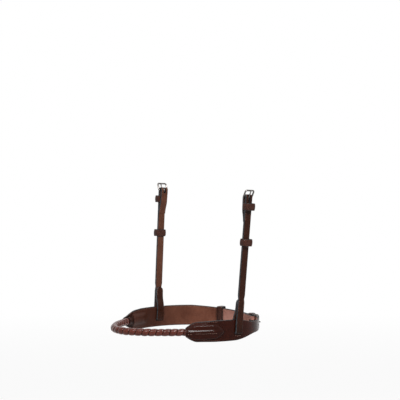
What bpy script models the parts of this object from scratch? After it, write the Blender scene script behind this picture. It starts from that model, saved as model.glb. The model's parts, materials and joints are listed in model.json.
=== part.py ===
"""Bridle noseband: a twisted leather nose, two padded bands, a jaw buckle and two cheek straps.

Metres, +Z up, the nose at -Y and the horse's left (near) side at +X. The origin lies midway
between the heel bars of the two cheek buckles, where the headpiece carries the noseband.
Arcs are measured along the loop from the middle of the nose, positive on the near side.
Run it with blender --background --python part.py, or from the text editor.
"""

from math import atan2, cos, exp, pi, radians, sin, sqrt

import bmesh
import bpy
import numpy as np
from mathutils import Matrix, Vector
from mathutils.geometry import intersect_line_line

MM = 0.001

# Clearances
GAP = 0.3 * MM  # between two pieces that touch on the real noseband
CUT_OVERRUN = 3.0 * MM  # how far a cutter stands out of what it cuts
WELD = GAP / 10  # nearest corners of one mesh that are joined

# The loop seen from above: a rounded egg, from the first three turns of a wave series
LOOP_HALF_LENGTH = 116.0 * MM
LOOP_HALF_WIDTH = 98.1 * MM
LOOP_NOSE_PULL = 7.4 * MM
LOOP_END_PULL = 1.6 * MM
LOOP_NOSE_PINCH = 6.0 * MM
LOOP_SIDE_PINCH = 1.2 * MM
LOOP_SAMPLES = 2000

# Band leather
BAND_HEIGHT = 32.0 * MM
STRAP_HEIGHT = 17.6 * MM  # billet and buckle strap behind the jaw
BAND_THICKNESS = 2.2 * MM
LINING_THICKNESS = 1.6 * MM
STATION_STEP = 8.0 * MM
PAD_STEP = 3.2 * MM
BAND_ROWS = 12
LINING_ROWS = 8

# Twisted nose
ROPE_LENGTH = 209.4 * MM  # what shows between the tips of the pads
ROPE_DIAMETER = 11.2 * MM
ROPE_GROOVE = 0.9 * MM
ROPE_PITCH = 10.2 * MM  # one turn of the leather strip that is wound round it
ROPE_SIDES = 16
ROPE_STATIONS_A_TURN = 8
CORE_DIAMETER = 6.0 * MM
CORE_IN_PAD = 42.0 * MM
CORE_STEP = 5.0 * MM

# Pads
PAD_LENGTH = 60.8 * MM
PAD_TIP_LENGTH = 24.0 * MM
PAD_TIP_HEIGHT = 13.2 * MM
PAD_END_LENGTH = 20.0 * MM
PAD_FLANGE = 1.7 * MM  # flat rim round the swell, where the edge is stitched
PAD_CROWN = 4.6 * MM
PAD_RIDGE = 1.5 * MM
PAD_RIDGE_WIDTH = 3.2 * MM
LINING_SETBACK = 19.0 * MM
LINING_BULGE_HEIGHT = 18.0 * MM
FILLER_MARGIN = 1.8 * MM  # rim of the swell without filling
FILLER_END_SETBACK = 5.0 * MM
FILLER_SLACK = 1.1 * MM  # under the outer leather
CROWN_POWER = 3
CROWN_SIDE_POWER = 1.3
CROWN_END_POWER = 1.6

# Cheek straps
PAD_TO_SLOT = 84.6 * MM  # pad tip to the middle of the slot, along the band
SLOT_DROP = 5.0 * MM  # slot below the middle of the band
CHEEK_LENGTH = 205.8 * MM  # slot to heel bar
CHEEK_LEAN_BACK = 14.6 * MM
CHEEK_LEAN_OUT = 7.0 * MM
CHEEK_WIDTH = 12.7 * MM
CHEEK_THICKNESS = 3.0 * MM
SLOT_BEND = 2.0 * MM
SLOT_PLAY = 0.35 * MM
CHEEK_BAND_GAP = 0.45 * MM
CHEEK_BEND_RISE = 1.5 * MM  # above the band's edge, where both legs start to lean out
CHEEK_TAIL = 52.0 * MM  # how far the inner tail reaches above the slot
CHEEK_TAIL_JOIN = 12.0 * MM
CHEEK_TURNED_END = 37.0 * MM
CHEEK_TURNED_JOIN = 7.0 * MM

# Buckles
CHEEK_WIRE = 2.5 * MM
CHEEK_FRAME_DEPTH = 11.5 * MM  # heel bar to outer bar
CHEEK_FRAME_TILT = radians(25)  # the billet pushes the outer bar outwards
CHEEK_TONGUE_WIRE = 2.1 * MM
CHEEK_TONGUE_SLOT = 4.4 * MM
CHEEK_TONGUE_SLOT_REACH = 8.5 * MM
REAR_WIRE = 2.8 * MM
REAR_RAIL_REACH = 11.7 * MM
REAR_TONGUE_WIRE = 2.4 * MM
REAR_TONGUE_SLOT = 4.4 * MM
REAR_TONGUE_SLOT_REACH = 6.5 * MM
FRAME_PLAY = 0.5 * MM  # strap edge to side bar
FRAME_CORNER = 2.6 * MM
HEEL_CORNER = 1.6 * MM
TONGUE_TIP = 1.1 * MM  # past the middle of the outer bar
TONGUE_TIP_SHARE = 0.75
TONGUE_RING_SHARE = 0.69  # of a full turn round the heel bar

# Keepers
KEEPER_WIDTH = 11.0 * MM  # along the strap
KEEPER_WALL = 1.5 * MM
KEEPER_SIDE_PLAY = 0.4 * MM
KEEPER_CORNER = 1.6 * MM
KEEPER_INNER_CORNER = 0.4 * MM
KEEPER_CROWN = 3.4 * MM  # corner radius on the side where the billet runs
KEEPER_INNER_CROWN = 2.0 * MM
BILLET_ROOM = 5.0 * MM  # left for the headpiece billet
FIXED_KEEPER_DROP = 14.0 * MM
RUNNING_KEEPER_DROP = 68.0 * MM

# Closure behind the jaw, measured from the rear middle of the loop
REAR_HEEL = 40.5 * MM  # near side
REAR_FIXED_KEEPER = 26.5 * MM  # near side
REAR_RUNNING_KEEPER = 43.5 * MM  # far side
REAR_TURNED_END = 41.5 * MM  # far side
BILLET_REACH = 66.0 * MM  # far side
BILLET_POINT = 14.0 * MM
BILLET_TIP_SHARE = 0.2  # of the billet's height, left at its very end
BILLET_HOLE = 3.6 * MM
BILLET_HOLE_PITCH = 20.0 * MM
BILLET_HOLES_BEHIND = 2
BILLET_HOLES_AHEAD = 3
USED_HOLE_LENGTH = 9.6 * MM
BILLET_RISE = 11.0 * MM
NEAR_TAPER_LEAD = 7.2 * MM  # starts this far before the slot
NEAR_TAPER = 52.0 * MM
NEAR_LINING_END = 47.0 * MM  # behind the slot
FAR_TAPER_START = 56.0 * MM  # behind the slot
FAR_TAPER = 113.0 * MM
REAR_KEEPER_PLAY = 0.5 * MM
REAR_KEEPER_TRAVEL = 40.0 * MM  # towards the rear middle

# Smoothness of round shapes
ARC_STEPS = 8
CORNER_STEPS = 3
SHARP_BEND_SHARE = 0.3  # a mitre grows to at most one over this

HALF_BAND = BAND_HEIGHT / 2
HALF_STRAP = STRAP_HEIGHT / 2
PAD_TIP_ARC = ROPE_LENGTH / 2
PAD_END_ARC = PAD_TIP_ARC + PAD_LENGTH
SLOT_ARC = PAD_TIP_ARC + PAD_TO_SLOT
OUTER_LAYER = (GAP + BAND_THICKNESS) / 2  # middle of the outer leather, from the loop line
LINING_LAYER = -(GAP + LINING_THICKNESS) / 2
TURNED_LAYER = -OUTER_LAYER
OVERLAY_LAYER = OUTER_LAYER + BAND_THICKNESS + GAP  # the billet, over the buckle strap


def loop_xy(turn):
    side = LOOP_HALF_WIDTH * np.sin(turn) - LOOP_NOSE_PINCH * np.sin(2 * turn)
    side = side - LOOP_SIDE_PINCH * np.sin(3 * turn)
    fore = LOOP_HALF_LENGTH * np.cos(turn) + LOOP_NOSE_PULL * np.cos(2 * turn)
    return side, -(fore + LOOP_END_PULL * np.cos(3 * turn))


TURNS = np.linspace(0, 2 * pi, LOOP_SAMPLES + 1)
LOOP_XY = loop_xy(TURNS)
ARCS = np.concatenate([[0], np.cumsum(np.hypot(np.diff(LOOP_XY[0]), np.diff(LOOP_XY[1])))])
LOOP_LENGTH = float(ARCS[-1])
REAR_ARC = LOOP_LENGTH / 2


def loop_frame(arc):
    """The loop's point, its direction towards growing arcs and its outward normal, level."""
    turn = float(np.interp(arc % LOOP_LENGTH, ARCS, TURNS))
    along = pi / LOOP_SAMPLES
    x0, y0 = loop_xy(turn - along)
    x1, y1 = loop_xy(turn + along)
    tangent = Vector((x1 - x0, y1 - y0, 0)).normalized()
    x, y = loop_xy(turn)
    return Vector((x, y, 0)), tangent, Vector((tangent.y, -tangent.x, 0))


def cheek_axes():
    """Near cheek strap: middle of its slot, outward, and up along the strap, about the loop."""
    point, rearward, outward = loop_frame(SLOT_ARC)
    lean = atan2(CHEEK_LEAN_BACK, sqrt(CHEEK_LENGTH**2 - CHEEK_LEAN_BACK**2))
    up = Vector((0, 0, cos(lean))) + rearward * sin(lean)
    return point - Vector((0, 0, SLOT_DROP)), outward, up


SLOT_POINT, SLOT_OUT, CHEEK_UP = cheek_axes()
HEEL_POINT = SLOT_POINT + SLOT_OUT * CHEEK_LEAN_OUT + CHEEK_UP * CHEEK_LENGTH
LOOP_PLACE = Vector((0, -HEEL_POINT.y, -HEEL_POINT.z))


def on_loop(arc, height, out):
    point, _, outward = loop_frame(arc)
    return LOOP_PLACE + point + outward * out + Vector((0, 0, height))


def ease(start, end, value):
    """0 before start, 1 after end, and smooth between them."""
    share = min(max((value - start) / (end - start), 0), 1)
    return share * share * (3 - 2 * share)


def axes_matrix(x, y, z, place):
    turn = Matrix((x, y, z)).transposed().to_4x4()
    turn.translation = place
    return turn


# Scene and materials


def start_scene():
    for old in list(bpy.data.objects):
        bpy.data.objects.remove(old)
    part = bpy.data.collections.new("bridle_noseband")
    cutters = bpy.data.collections.new("cutters")
    for each in (part, cutters):
        bpy.context.scene.collection.children.link(each)
    return part, cutters


PART, CUTTERS = start_scene()


def material(name, colour, roughness, metallic=0.0):
    made = bpy.data.materials.new(name)
    made.use_nodes = True
    shader = made.node_tree.nodes["Principled BSDF"]
    shader.inputs["Base Color"].default_value = (*colour, 1)
    shader.inputs["Roughness"].default_value = roughness
    shader.inputs["Metallic"].default_value = metallic
    return made


BRIDLE_LEATHER = material("bridle_leather", (0.062, 0.018, 0.012), 0.35)
LINING_LEATHER = material("lining_leather", (0.11, 0.036, 0.022), 0.55)
ROPE_LEATHER = material("rope_leather", (0.12, 0.035, 0.025), 0.4)
CORE_CORD = material("core_cord", (0.45, 0.36, 0.24), 0.9)
FILLER_FELT = material("filler_felt", (0.35, 0.3, 0.24), 0.95)
BUCKLE_METAL = material("buckle_metal", (0.55, 0.54, 0.52), 0.22, 1.0)


def place(obj, finish, collection=None):
    (collection or PART).objects.link(obj)
    if finish:
        obj.data.materials.append(finish)
    return obj


def smooth_mesh(mesh):
    mesh.shade_smooth()
    mesh.set_sharp_from_angle(angle=pi / 5)


def solid_mesh(name, work):
    """The closed work mesh with its faces turned outwards."""
    bmesh.ops.recalc_face_normals(work, faces=work.faces[:])
    if work.calc_volume(signed=True) < 0:
        bmesh.ops.reverse_faces(work, faces=work.faces[:])
    mesh = bpy.data.meshes.new(name)
    work.to_mesh(mesh)
    work.free()
    return mesh


# Leather sheets: a flat grid, thickened, then laid where its formula says


def sheet(name, columns, rows, spot, finish):
    """A closed sheet. spot(column, share, face) gives a place; share runs -1 to 1, face is 0 or 1."""
    work = bmesh.new()
    bmesh.ops.create_grid(work, x_segments=columns, y_segments=rows, size=1)
    raised = bmesh.ops.extrude_face_region(work, geom=work.faces[:])
    bmesh.ops.translate(
        work, vec=(0, 0, 1), verts=[v for v in raised["geom"] if isinstance(v, bmesh.types.BMVert)]
    )
    for vert in work.verts:
        column = round((vert.co.x + 1) / 2 * columns)
        vert.co = spot(column, vert.co.y, round(vert.co.z))
    mesh = solid_mesh(name, work)
    smooth_mesh(mesh)
    return place(bpy.data.objects.new(name, mesh), finish)


def path_normals(path):
    """Mitred unit-thickness normals, to the left of each point of a flat path."""
    normals = []
    for i in range(len(path)):
        before = Vector(path[max(i - 1, 0)])
        here = Vector(path[i])
        after = Vector(path[min(i + 1, len(path) - 1)])
        first = (here - before) if i else (after - here)
        second = (after - here) if i < len(path) - 1 else (here - before)
        first.normalize()
        second.normalize()
        middle = (first + second).normalized()
        normal = Vector((-middle.y, middle.x))
        square = max(normal.dot(Vector((-first.y, first.x))), SHARP_BEND_SHARE)
        normals.append(normal / square)
    return normals


def arc_points(centre, radius, start, end, steps=ARC_STEPS):
    angles = [start + (end - start) * i / steps for i in range(steps + 1)]
    return [(centre[0] + radius * cos(a), centre[1] + radius * sin(a)) for a in angles]


def spaced(start, end, step):
    """Places from start up to end, both kept, about a step apart."""
    count = max(1, round(abs(end - start) / step))
    return [start + (end - start) * i / count for i in range(count + 1)]


# Cutters


def cutter(obj):
    obj.hide_render = True
    obj.display_type = "WIRE"
    for each in list(obj.users_collection):
        each.objects.unlink(obj)
    CUTTERS.objects.link(obj)
    return obj


def box_cutter(name, low, high, matrix):
    """A box between two corners of the frame that the matrix gives."""
    bpy.ops.mesh.primitive_cube_add(size=1)
    box = bpy.context.object
    box.name = name
    middle = (Vector(low) + Vector(high)) / 2
    box.data.transform(Matrix.Translation(middle) @ Matrix.Diagonal((*(Vector(high) - Vector(low)), 1)))
    box.matrix_world = matrix
    return cutter(box)


def hole_cutter(name, across, along, depth, matrix):
    """An oval hole: its long way is the frame's X, it is across wide in Z and runs along Y."""
    bpy.ops.mesh.primitive_cylinder_add(vertices=16, radius=0.5, depth=1)
    rod = bpy.context.object
    rod.name = name
    rod.data.transform(
        Matrix.Diagonal((along, depth, across, 1)) @ Matrix.Rotation(pi / 2, 4, "X")
    )
    rod.matrix_world = matrix
    return cutter(rod)


def cut(obj, by):
    change = obj.modifiers.new("cut_" + by.name, "BOOLEAN")
    change.operation = "DIFFERENCE"
    change.object = by


# Band leather


def pad_lift(arc, height):
    """How far the swell of a pad lifts the outer leather off the loop line."""
    behind = arc - PAD_TIP_ARC
    ahead = PAD_END_ARC - arc
    if behind < 0 or ahead <= 0:
        return 0.0
    tip = max(1 - behind / PAD_TIP_LENGTH, 0) ** 2
    end = max(1 - ahead / PAD_END_LENGTH, 0)
    full = HALF_BAND - PAD_FLANGE
    half = full + (PAD_TIP_HEIGHT / 2 - full) * tip
    reach = (abs(height) / half) ** CROWN_SIDE_POWER + end**CROWN_END_POWER
    if reach >= 1:
        return 0.0
    ridge = PAD_RIDGE * exp(-((height / PAD_RIDGE_WIDTH) ** 2)) * (1 - end)
    return (PAD_CROWN + ridge) * (1 - reach**CROWN_POWER)


def lining_lift(arc, height):
    """How far the lining bulges inwards over the core of the nose."""
    behind = arc - PAD_TIP_ARC
    length_share = 1 - ease(CORE_IN_PAD + GAP, PAD_LENGTH, behind)
    reach = min(2 * abs(height) / LINING_BULGE_HEIGHT, 1)
    return (CORE_DIAMETER / 2) * length_share * (1 - reach**CROWN_POWER)


def tip_half(arc):
    behind = arc - PAD_TIP_ARC
    tip = max(1 - behind / PAD_TIP_LENGTH, 0) ** 2
    return HALF_BAND + (PAD_TIP_HEIGHT / 2 - HALF_BAND) * tip


def near_half(arc):
    start = SLOT_ARC - NEAR_TAPER_LEAD
    return tip_half(arc) + (HALF_STRAP - HALF_BAND) * ease(start, start + NEAR_TAPER, arc)


def far_half(arc):
    share = min(max((arc - SLOT_ARC - FAR_TAPER_START) / FAR_TAPER, 0), 1)
    return tip_half(arc) + (HALF_STRAP - HALF_BAND) * share


def band_sheet(name, side, path, thickness, half, lift, rows, finish):
    """Leather along the loop. The path holds (arc, out) pairs; side is 1 for near, -1 for far."""
    normals = path_normals(path)

    def spot(column, share, face):
        arc, out = path[column]
        normal = normals[column] * thickness * (face - 0.5)
        height = share * half(arc)
        return on_loop(side * (arc + normal.x), height, out + normal.y + lift(arc, height))

    return sheet(name, len(path) - 1, rows, spot, finish)


def no_lift(arc, height):
    return 0.0


# Rear buckle: its heel bar stands upright inside the fold of the far strap

REAR_BAR = REAR_WIRE / 2
REAR_FOLD = REAR_BAR + GAP + BAND_THICKNESS / 2
REAR_HEEL_ARC = REAR_ARC - REAR_HEEL
REAR_BAR_OUT = OUTER_LAYER - REAR_FOLD
REAR_RAIL_ARC = REAR_HEEL_ARC - REAR_RAIL_REACH
REAR_RAIL_OUT = OUTER_LAYER + BAND_THICKNESS / 2 + GAP + REAR_BAR
REAR_HEEL_POINT = on_loop(REAR_HEEL_ARC, 0, REAR_BAR_OUT)
REAR_RAIL_POINT = on_loop(REAR_RAIL_ARC, 0, REAR_RAIL_OUT)
TONGUE_REACH = (REAR_WIRE + REAR_TONGUE_WIRE) / 2 + GAP


def near_path():
    """Outer leather of the near side: band, then the billet over the buckle strap."""
    tip = REAR_ARC + BILLET_REACH
    rise = REAR_RAIL_ARC + GAP
    arcs = spaced(PAD_TIP_ARC, PAD_END_ARC, PAD_STEP)
    arcs += spaced(PAD_END_ARC, rise, STATION_STEP)[1:]
    arcs += spaced(rise, rise + BILLET_RISE, BILLET_RISE / ARC_STEPS)[1:]
    arcs += spaced(rise + BILLET_RISE, tip - BILLET_POINT, STATION_STEP)[1:]
    arcs += spaced(tip - BILLET_POINT, tip, BILLET_POINT / CORNER_STEPS / 2)[1:]
    climb = OVERLAY_LAYER - OUTER_LAYER
    return [(arc, OUTER_LAYER + climb * ease(rise, rise + BILLET_RISE, arc)) for arc in arcs]


def billet_half(arc):
    """The near band's half height, drawn to a rounded point at the billet's end."""
    left = (REAR_ARC + BILLET_REACH - arc) / BILLET_POINT
    point = sqrt(max(1 - (1 - min(left, 1)) ** 2, 0))
    return near_half(arc) * max(point, BILLET_TIP_SHARE)


def far_path():
    """Outer leather of the far side: band, strap, fold round the heel bar and turned end."""
    heel = LOOP_LENGTH - REAR_HEEL_ARC
    keeper_back = TURNED_LAYER - KEEPER_WALL - GAP
    fixed = LOOP_LENGTH - REAR_ARC + REAR_FIXED_KEEPER
    keeper_end = fixed - KEEPER_WIDTH / 2 - GAP
    joined = keeper_end - 2 * CHEEK_TURNED_JOIN
    path = [(arc, OUTER_LAYER) for arc in spaced(PAD_TIP_ARC, PAD_END_ARC, PAD_STEP)]
    path += [(arc, OUTER_LAYER) for arc in spaced(PAD_END_ARC, heel, STATION_STEP)[1:-1]]
    path += arc_points((heel, REAR_BAR_OUT), REAR_FOLD, pi / 2, -pi / 2)
    path += [(keeper_end, keeper_back), (joined, TURNED_LAYER)]
    cut_end = REAR_ARC - REAR_TURNED_END
    path += [(arc, TURNED_LAYER) for arc in spaced(joined, cut_end, STATION_STEP)[1:]]
    return path


def lining_path(end):
    start = PAD_TIP_ARC + LINING_SETBACK
    arcs = spaced(start, PAD_END_ARC, PAD_STEP) + spaced(PAD_END_ARC, end, STATION_STEP)[1:]
    return [(arc, LINING_LAYER) for arc in arcs]


def make_linings():
    ends = {1: SLOT_ARC + NEAR_LINING_END, -1: REAR_ARC - REAR_TURNED_END - GAP}
    halves = {1: near_half, -1: far_half}
    made = {}
    for side, word in ((1, "near"), (-1, "far")):
        made[side] = band_sheet(
            word + "_band_lining",
            side,
            lining_path(ends[side]),
            LINING_THICKNESS,
            halves[side],
            lambda arc, height: -lining_lift(arc, height),
            LINING_ROWS,
            LINING_LEATHER,
        )
    return made


def make_filler(side, word):
    """The padding under the swell. Its under side arches over the core of the nose."""
    start = PAD_TIP_ARC + LINING_SETBACK
    end = PAD_END_ARC - FILLER_END_SETBACK
    arcs = spaced(start, end, PAD_STEP)
    arch = CORE_DIAMETER / 2 + 2 * GAP
    core_end = PAD_TIP_ARC + CORE_IN_PAD + PAD_STEP

    def spot(column, share, face):
        arc = arcs[column]
        taper = max(1 - (PAD_END_ARC - arc) / PAD_END_LENGTH, 0) ** 2
        height = share * ((HALF_BAND - PAD_FLANGE) * (1 - taper) - FILLER_MARGIN)
        out = pad_lift(arc, height) + GAP / 2 - FILLER_SLACK
        if face == 0:
            over = arch**2 - height**2 if arc < core_end else 0
            out = max(GAP / 2, sqrt(max(over, 0)))
        return on_loop(side * arc, height, out)

    return sheet(word + "_pad_filler", len(arcs) - 1, BAND_ROWS, spot, FILLER_FELT)


# Nose


def make_core():
    curve = bpy.data.curves.new("nose_rope_core", "CURVE")
    curve.dimensions = "3D"
    curve.bevel_depth = CORE_DIAMETER / 2
    curve.bevel_resolution = 2
    curve.use_fill_caps = True
    reach = PAD_TIP_ARC + CORE_IN_PAD
    arcs = spaced(-reach, reach, CORE_STEP)
    spline = curve.splines.new("POLY")
    spline.points.add(len(arcs) - 1)
    for point, arc in zip(spline.points, arcs):
        point.co = (*on_loop(arc, 0, 0), 1)
    return place(bpy.data.objects.new("nose_rope_core", curve), CORE_CORD)


def rope_radius(angle, arc):
    """Outline of the wound strip; its turns climb to the right on the outside of the near side."""
    turned = angle / 2 - pi * arc / ROPE_PITCH
    return ROPE_DIAMETER / 2 - ROPE_GROOVE * (1 - abs(cos(turned)))


def make_rope():
    """Twisted cover of the nose: a tube with one winding groove, bored for the core."""
    reach = PAD_TIP_ARC + LINING_SETBACK - GAP
    arcs = spaced(-reach, reach, ROPE_PITCH / ROPE_STATIONS_A_TURN)
    work = bmesh.new()
    bmesh.ops.create_cone(
        work, cap_ends=True, segments=ROPE_SIDES, radius1=1, radius2=1, depth=2
    )
    middle = [edge for edge in work.edges if abs(edge.verts[0].co.z - edge.verts[1].co.z) > 1]
    bmesh.ops.subdivide_edges(work, edges=middle, cuts=len(arcs) - 2)
    for vert in work.verts:
        arc = arcs[round((vert.co.z + 1) / 2 * (len(arcs) - 1))]
        angle = atan2(vert.co.y, vert.co.x)
        radius = rope_radius(angle, arc)
        vert.co = on_loop(arc, radius * sin(angle), radius * cos(angle))
    mesh = solid_mesh("nose_rope_cover", work)
    mesh.shade_smooth()
    return place(bpy.data.objects.new("nose_rope_cover", mesh), ROPE_LEATHER)


def bore_rope(rope, core):
    """Bores the cover with the core's own route, a clearance wider."""
    wider = core.data.copy()
    wider.bevel_depth = CORE_DIAMETER / 2 + GAP
    guide = bpy.data.objects.new("rope_bore", wider)
    PART.objects.link(guide)
    graph = bpy.context.evaluated_depsgraph_get()
    work = bmesh.new()
    work.from_mesh(bpy.data.meshes.new_from_object(guide.evaluated_get(graph)))
    bpy.data.objects.remove(guide)
    bmesh.ops.remove_doubles(work, verts=work.verts[:], dist=WELD)
    tool = bpy.data.objects.new("rope_bore", solid_mesh("rope_bore", work))
    PART.objects.link(tool)
    cut(rope, cutter(tool))


# Buckles and keepers, each in a frame of its own with Z along the strap and Y outwards


def rounded_rectangle(low, high, low_corner, high_corner):
    """Corners of a flat outline, rounded, in order; low and high are opposite corners."""
    (x0, y0), (x1, y1) = low, high
    places = [
        (x0 + low_corner, y0 + low_corner, low_corner, pi),
        (x1 - low_corner, y0 + low_corner, low_corner, 1.5 * pi),
        (x1 - high_corner, y1 - high_corner, high_corner, 0),
        (x0 + high_corner, y1 - high_corner, high_corner, 0.5 * pi),
    ]
    points = []
    for x, y, radius, start in places:
        points += arc_points((x, y), radius, start, start + pi / 2, CORNER_STEPS)
    return points


def make_buckle_frame(name, matrix, half_width, wire, depth):
    """A bent wire frame about its heel bar: X along the bar, Z towards the outer bar."""
    curve = bpy.data.curves.new(name, "CURVE")
    curve.dimensions = "3D"
    curve.bevel_depth = wire / 2
    curve.bevel_resolution = 2
    wide = half_width + FRAME_PLAY + wire / 2
    outline = rounded_rectangle((-wide, 0), (wide, depth), HEEL_CORNER, FRAME_CORNER)
    spline = curve.splines.new("POLY")
    spline.use_cyclic_u = True
    spline.points.add(len(outline) - 1)
    for point, (x, z) in zip(spline.points, outline):
        point.co = (x, 0, z, 1)
    obj = place(bpy.data.objects.new(name, curve), BUCKLE_METAL)
    obj.matrix_world = matrix
    return obj


def make_tongue(name, matrix, frame_wire, wire, depth):
    """A tongue curled round the heel bar, its shaft lying on the outer bar."""
    curve = bpy.data.curves.new(name, "CURVE")
    curve.dimensions = "3D"
    curve.bevel_depth = wire / 2
    curve.bevel_resolution = 2
    curve.use_fill_caps = True
    ring = (frame_wire + wire) / 2 + GAP
    path = arc_points((0, 0), ring, -2 * pi * TONGUE_RING_SHARE, 0, 2 * ARC_STEPS)
    tip = depth + TONGUE_TIP
    shaft = spaced(0, tip, tip / CORNER_STEPS)[1:]
    spline = curve.splines.new("POLY")
    spline.points.add(len(path) + len(shaft) - 1)
    for point, (y, z) in zip(spline.points, path):
        point.co = (0, y, z, 1)
    for i, z in enumerate(shaft):
        point = spline.points[len(path) + i]
        point.co = (0, ring, z, 1)
        point.radius = 1 + (TONGUE_TIP_SHARE - 1) * ((i + 1) / len(shaft)) ** 2
    obj = place(bpy.data.objects.new(name, curve), BUCKLE_METAL)
    obj.matrix_world = matrix
    return obj


def make_keeper(name, matrix, half_width, back, front, crown=KEEPER_CORNER, inner=KEEPER_INNER_CORNER):
    """A leather loop round a strap that lies along Z; back and front are its inner faces."""
    curve = bpy.data.curves.new(name, "CURVE")
    curve.dimensions = "2D"
    curve.fill_mode = "BOTH"
    curve.extrude = KEEPER_WIDTH / 2
    outside = rounded_rectangle(
        (-half_width - KEEPER_WALL, back - KEEPER_WALL),
        (half_width + KEEPER_WALL, front + KEEPER_WALL),
        KEEPER_CORNER,
        crown,
    )
    inside = rounded_rectangle((-half_width, back), (half_width, front), KEEPER_INNER_CORNER, inner)
    for outline in (outside, inside):
        spline = curve.splines.new("POLY")
        spline.use_cyclic_u = True
        spline.points.add(len(outline) - 1)
        for point, (x, y) in zip(spline.points, outline):
            point.co = (x, y, 0, 1)
    obj = place(bpy.data.objects.new(name, curve), BRIDLE_LEATHER)
    obj.matrix_world = matrix
    return obj


# Cheek straps


CHEEK_BAR = CHEEK_WIRE / 2
CHEEK_FOLD = CHEEK_BAR + GAP + CHEEK_THICKNESS / 2
LEG_FOOT = OUTER_LAYER + BAND_THICKNESS / 2 + CHEEK_BAND_GAP + CHEEK_THICKNESS / 2
LEG_HEAD = CHEEK_LEAN_OUT + CHEEK_FOLD
LEG_BEND = BAND_HEIGHT / 2 + SLOT_DROP + CHEEK_BEND_RISE  # the legs leave the band here


def leg_out(up):
    """Middle of the outer leg at a height above the slot, from the loop line outwards."""
    share = max(up - LEG_BEND, 0) / (CHEEK_LENGTH - LEG_BEND)
    return LEG_FOOT + (LEG_HEAD - LEG_FOOT) * share


def cheek_path():
    """The strap's middle line as (out, up): turned end, fold, outer leg, slot and inner tail."""
    pair = CHEEK_THICKNESS + GAP
    apart = CHEEK_THICKNESS + KEEPER_WALL + 2 * GAP
    keeper_low = CHEEK_LENGTH - FIXED_KEEPER_DROP - KEEPER_WIDTH / 2 - GAP
    turned_end = CHEEK_LENGTH - CHEEK_TURNED_END
    joined = keeper_low - CHEEK_TURNED_JOIN
    path = [(leg_out(turned_end) - pair, turned_end), (leg_out(joined) - pair, joined)]
    path += [(leg_out(keeper_low) - apart, keeper_low)]
    path += arc_points((CHEEK_LEAN_OUT, CHEEK_LENGTH), CHEEK_FOLD, pi, 0, 2 * ARC_STEPS)
    running = CHEEK_LENGTH - RUNNING_KEEPER_DROP + KEEPER_WIDTH / 2
    path += [(leg_out(up), up) for up in (keeper_low - GAP, running + GAP, LEG_BEND)]
    path += arc_points((LEG_FOOT - SLOT_BEND, SLOT_BEND), SLOT_BEND, 0, -pi / 2, CORNER_STEPS)
    tail_foot = LINING_LAYER - (LINING_THICKNESS + CHEEK_THICKNESS) / 2 - CHEEK_BAND_GAP
    path += arc_points(
        (tail_foot + SLOT_BEND, SLOT_BEND), SLOT_BEND, -pi / 2, -pi, CORNER_STEPS
    )
    tail_join = LEG_BEND + CHEEK_TAIL_JOIN
    path += [(tail_foot, LEG_BEND)]
    path += [(leg_out(tail_join) - pair, tail_join), (leg_out(CHEEK_TAIL) - pair, CHEEK_TAIL)]
    return path


def cheek_matrix(side):
    """Frame at the slot of one side: X along the strap's width, Y outwards, Z up the strap."""
    outward = Vector((side * SLOT_OUT.x, SLOT_OUT.y, 0))
    up = Vector((side * CHEEK_UP.x, CHEEK_UP.y, CHEEK_UP.z))
    middle = Vector((side * SLOT_POINT.x, SLOT_POINT.y, SLOT_POINT.z))
    return axes_matrix(outward.cross(up), outward, up, middle + LOOP_PLACE)


def make_cheek(side, word, band, lining):
    frame = cheek_matrix(side)
    path = cheek_path()
    normals = path_normals(path)

    def spot(column, share, face):
        normal = normals[column] * CHEEK_THICKNESS * (face - 0.5)
        out, up = path[column]
        return frame @ Vector((share * CHEEK_WIDTH / 2, out + normal.x, up + normal.y))

    strap = sheet(word + "_cheek_strap", len(path) - 1, 1, spot, BRIDLE_LEATHER)
    heel = frame @ Matrix.Translation((0, CHEEK_LEAN_OUT, CHEEK_LENGTH))
    fold = CHEEK_FOLD + CHEEK_THICKNESS / 2 + CUT_OVERRUN
    low = (-CHEEK_TONGUE_SLOT / 2, -fold, -CHEEK_TONGUE_SLOT_REACH)
    high = (CHEEK_TONGUE_SLOT / 2, fold, fold)
    cut(strap, box_cutter(word + "_cheek_tongue_slot", low, high, heel))
    slot_half = CHEEK_THICKNESS / 2 + SLOT_PLAY
    wide = CHEEK_WIDTH / 2 + SLOT_PLAY
    deep = LEG_FOOT + CUT_OVERRUN
    slot = box_cutter(
        word + "_band_slot", (-wide, -deep, -slot_half), (wide, deep, slot_half), frame
    )
    cut(band, slot)
    cut(lining, slot)
    half = CHEEK_WIDTH / 2
    tilted = heel @ Matrix.Rotation(-CHEEK_FRAME_TILT, 4, "X")
    make_buckle_frame(word + "_cheek_buckle_frame", tilted, half, CHEEK_WIRE, CHEEK_FRAME_DEPTH)
    make_tongue(
        word + "_cheek_buckle_tongue", tilted, CHEEK_WIRE, CHEEK_TONGUE_WIRE, CHEEK_FRAME_DEPTH
    )
    lean = atan2(LEG_HEAD - LEG_FOOT, CHEEK_LENGTH - LEG_BEND)
    for kind, drop in (("fixed", FIXED_KEEPER_DROP), ("running", RUNNING_KEEPER_DROP)):
        up = CHEEK_LENGTH - drop
        spot_on_leg = frame @ Matrix.Translation((0, leg_out(up), up))
        make_keeper(
            f"{word}_cheek_{kind}_keeper",
            spot_on_leg @ Matrix.Rotation(-lean, 4, "X"),
            CHEEK_WIDTH / 2 + KEEPER_SIDE_PLAY,
            -CHEEK_THICKNESS / 2 - GAP,
            CHEEK_THICKNESS / 2 + BILLET_ROOM,
            KEEPER_CROWN,
            KEEPER_INNER_CROWN,
        )


# Closure behind the jaw


def strap_matrix(arc):
    """Frame on the loop: X up, Y outwards, Z along the strap."""
    point, tangent, outward = loop_frame(arc)
    upward = Vector((0, 0, 1))
    return axes_matrix(upward, outward, upward.cross(outward), point + LOOP_PLACE)


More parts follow.
